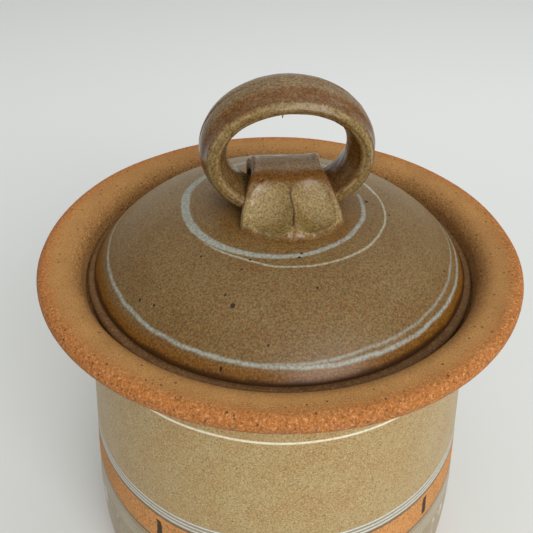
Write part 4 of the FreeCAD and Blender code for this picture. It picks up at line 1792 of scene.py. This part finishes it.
@dataclass
class Studio:
    """The floor, the lights and the camera."""

    eye: Vector = field(default_factory=lambda: Vector((-0.0341, -0.2571, 0.3733)))
    view: Vector = field(default_factory=lambda: Vector((0.08637, 0.79656, -0.59835)))
    lens: float = 43.23
    roll: float = 0.0092
    floor_size: float = 6.0
    floor_near: Colour = (0.70, 0.72, 0.70)
    floor_far: Colour = (0.85, 0.87, 0.87)
    far: Span = (0.0, 700.0)
    lamps: tuple[Lamp, Lamp] = (Lamp("front_window", (0.5, -1.35, 1.0), size=1.0, power=19.0),
                                Lamp("sky_panel", (0.4, 0.1, 1.6), size=2.6, power=12.0))
    lamp_target: Vector = field(default_factory=lambda: Vector((0.0, 0.0, 0.12)))
    room_colour: Colour = (1.0, 0.99, 0.965)
    room_light: float = 0.47

    def floor(self) -> None:
        """Lay the pale floor, painted darker in front and paler behind: painted shade and light that even out
        the lamps.
        """
        shape = bmesh.new()
        bmesh.ops.create_grid(shape, x_segments=1, y_segments=1, size=self.floor_size / 2)
        mesh = bpy.data.meshes.new("floor")
        shape.to_mesh(mesh)
        shape.free()
        graph = ShaderGraph("floor_paper")
        # Painted shade and light: the floor runs from darker in front to paler behind, evening out the lamps.
        colour = graph.mix(graph.ease(graph.along, *self.far), self.floor_near, self.floor_far)
        mesh.materials.append(graph.finish(colour, roughness=0.8, relief=0.0, depth=0.1, gloss=0.2))
        floor = bpy.data.objects.new("floor", mesh)
        bpy.context.scene.collection.objects.link(floor)

    def world(self) -> None:
        """Fill the room with even pale light."""
        world = bpy.data.worlds.new("room")
        bpy.context.scene.world = world
        world.use_nodes = True
        nodes, links = world.node_tree.nodes, world.node_tree.links
        nodes.clear()
        light = nodes.new("ShaderNodeBackground")
        light.inputs["Color"].default_value = (*self.room_colour, 1.0)
        light.inputs["Strength"].default_value = self.room_light
        out = nodes.new("ShaderNodeOutputWorld")
        links.new(light.outputs[0], out.inputs["Surface"])

    def camera(self) -> None:
        """Set the camera at its viewing angle."""
        ahead = self.view.normalized()
        right = ahead.cross(Vector((0, 0, 1))).normalized()
        up = right.cross(ahead)
        turned_right = right * math.cos(self.roll) + up * math.sin(self.roll)
        turned_up = up * math.cos(self.roll) - right * math.sin(self.roll)
        data = bpy.data.cameras.new("camera")
        data.lens = self.lens
        data.sensor_width = 36.0
        data.clip_start = 0.01
        camera = bpy.data.objects.new("camera", data)
        bpy.context.scene.collection.objects.link(camera)
        turn = Matrix((turned_right, turned_up, -ahead)).transposed().to_4x4()
        camera.matrix_world = Matrix.Translation(self.eye) @ turn
        bpy.context.scene.camera = camera

    def build(self) -> None:
        """Set up the whole studio."""
        bpy.context.scene.view_settings.view_transform = "Standard"
        self.floor()
        self.world()
        for lamp in self.lamps:
            lamp.hang(self.lamp_target)
        self.camera()


def main() -> None:
    """Build the jar, the lid and the studio, in order."""
    logging.basicConfig(level=logging.INFO)
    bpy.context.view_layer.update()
    ThrownJar().build()
    lid = ThrownLid().build()
    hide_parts("lid")
    PressedHandle().build()
    Studio().build()


if __name__ == "__main__":
    main()
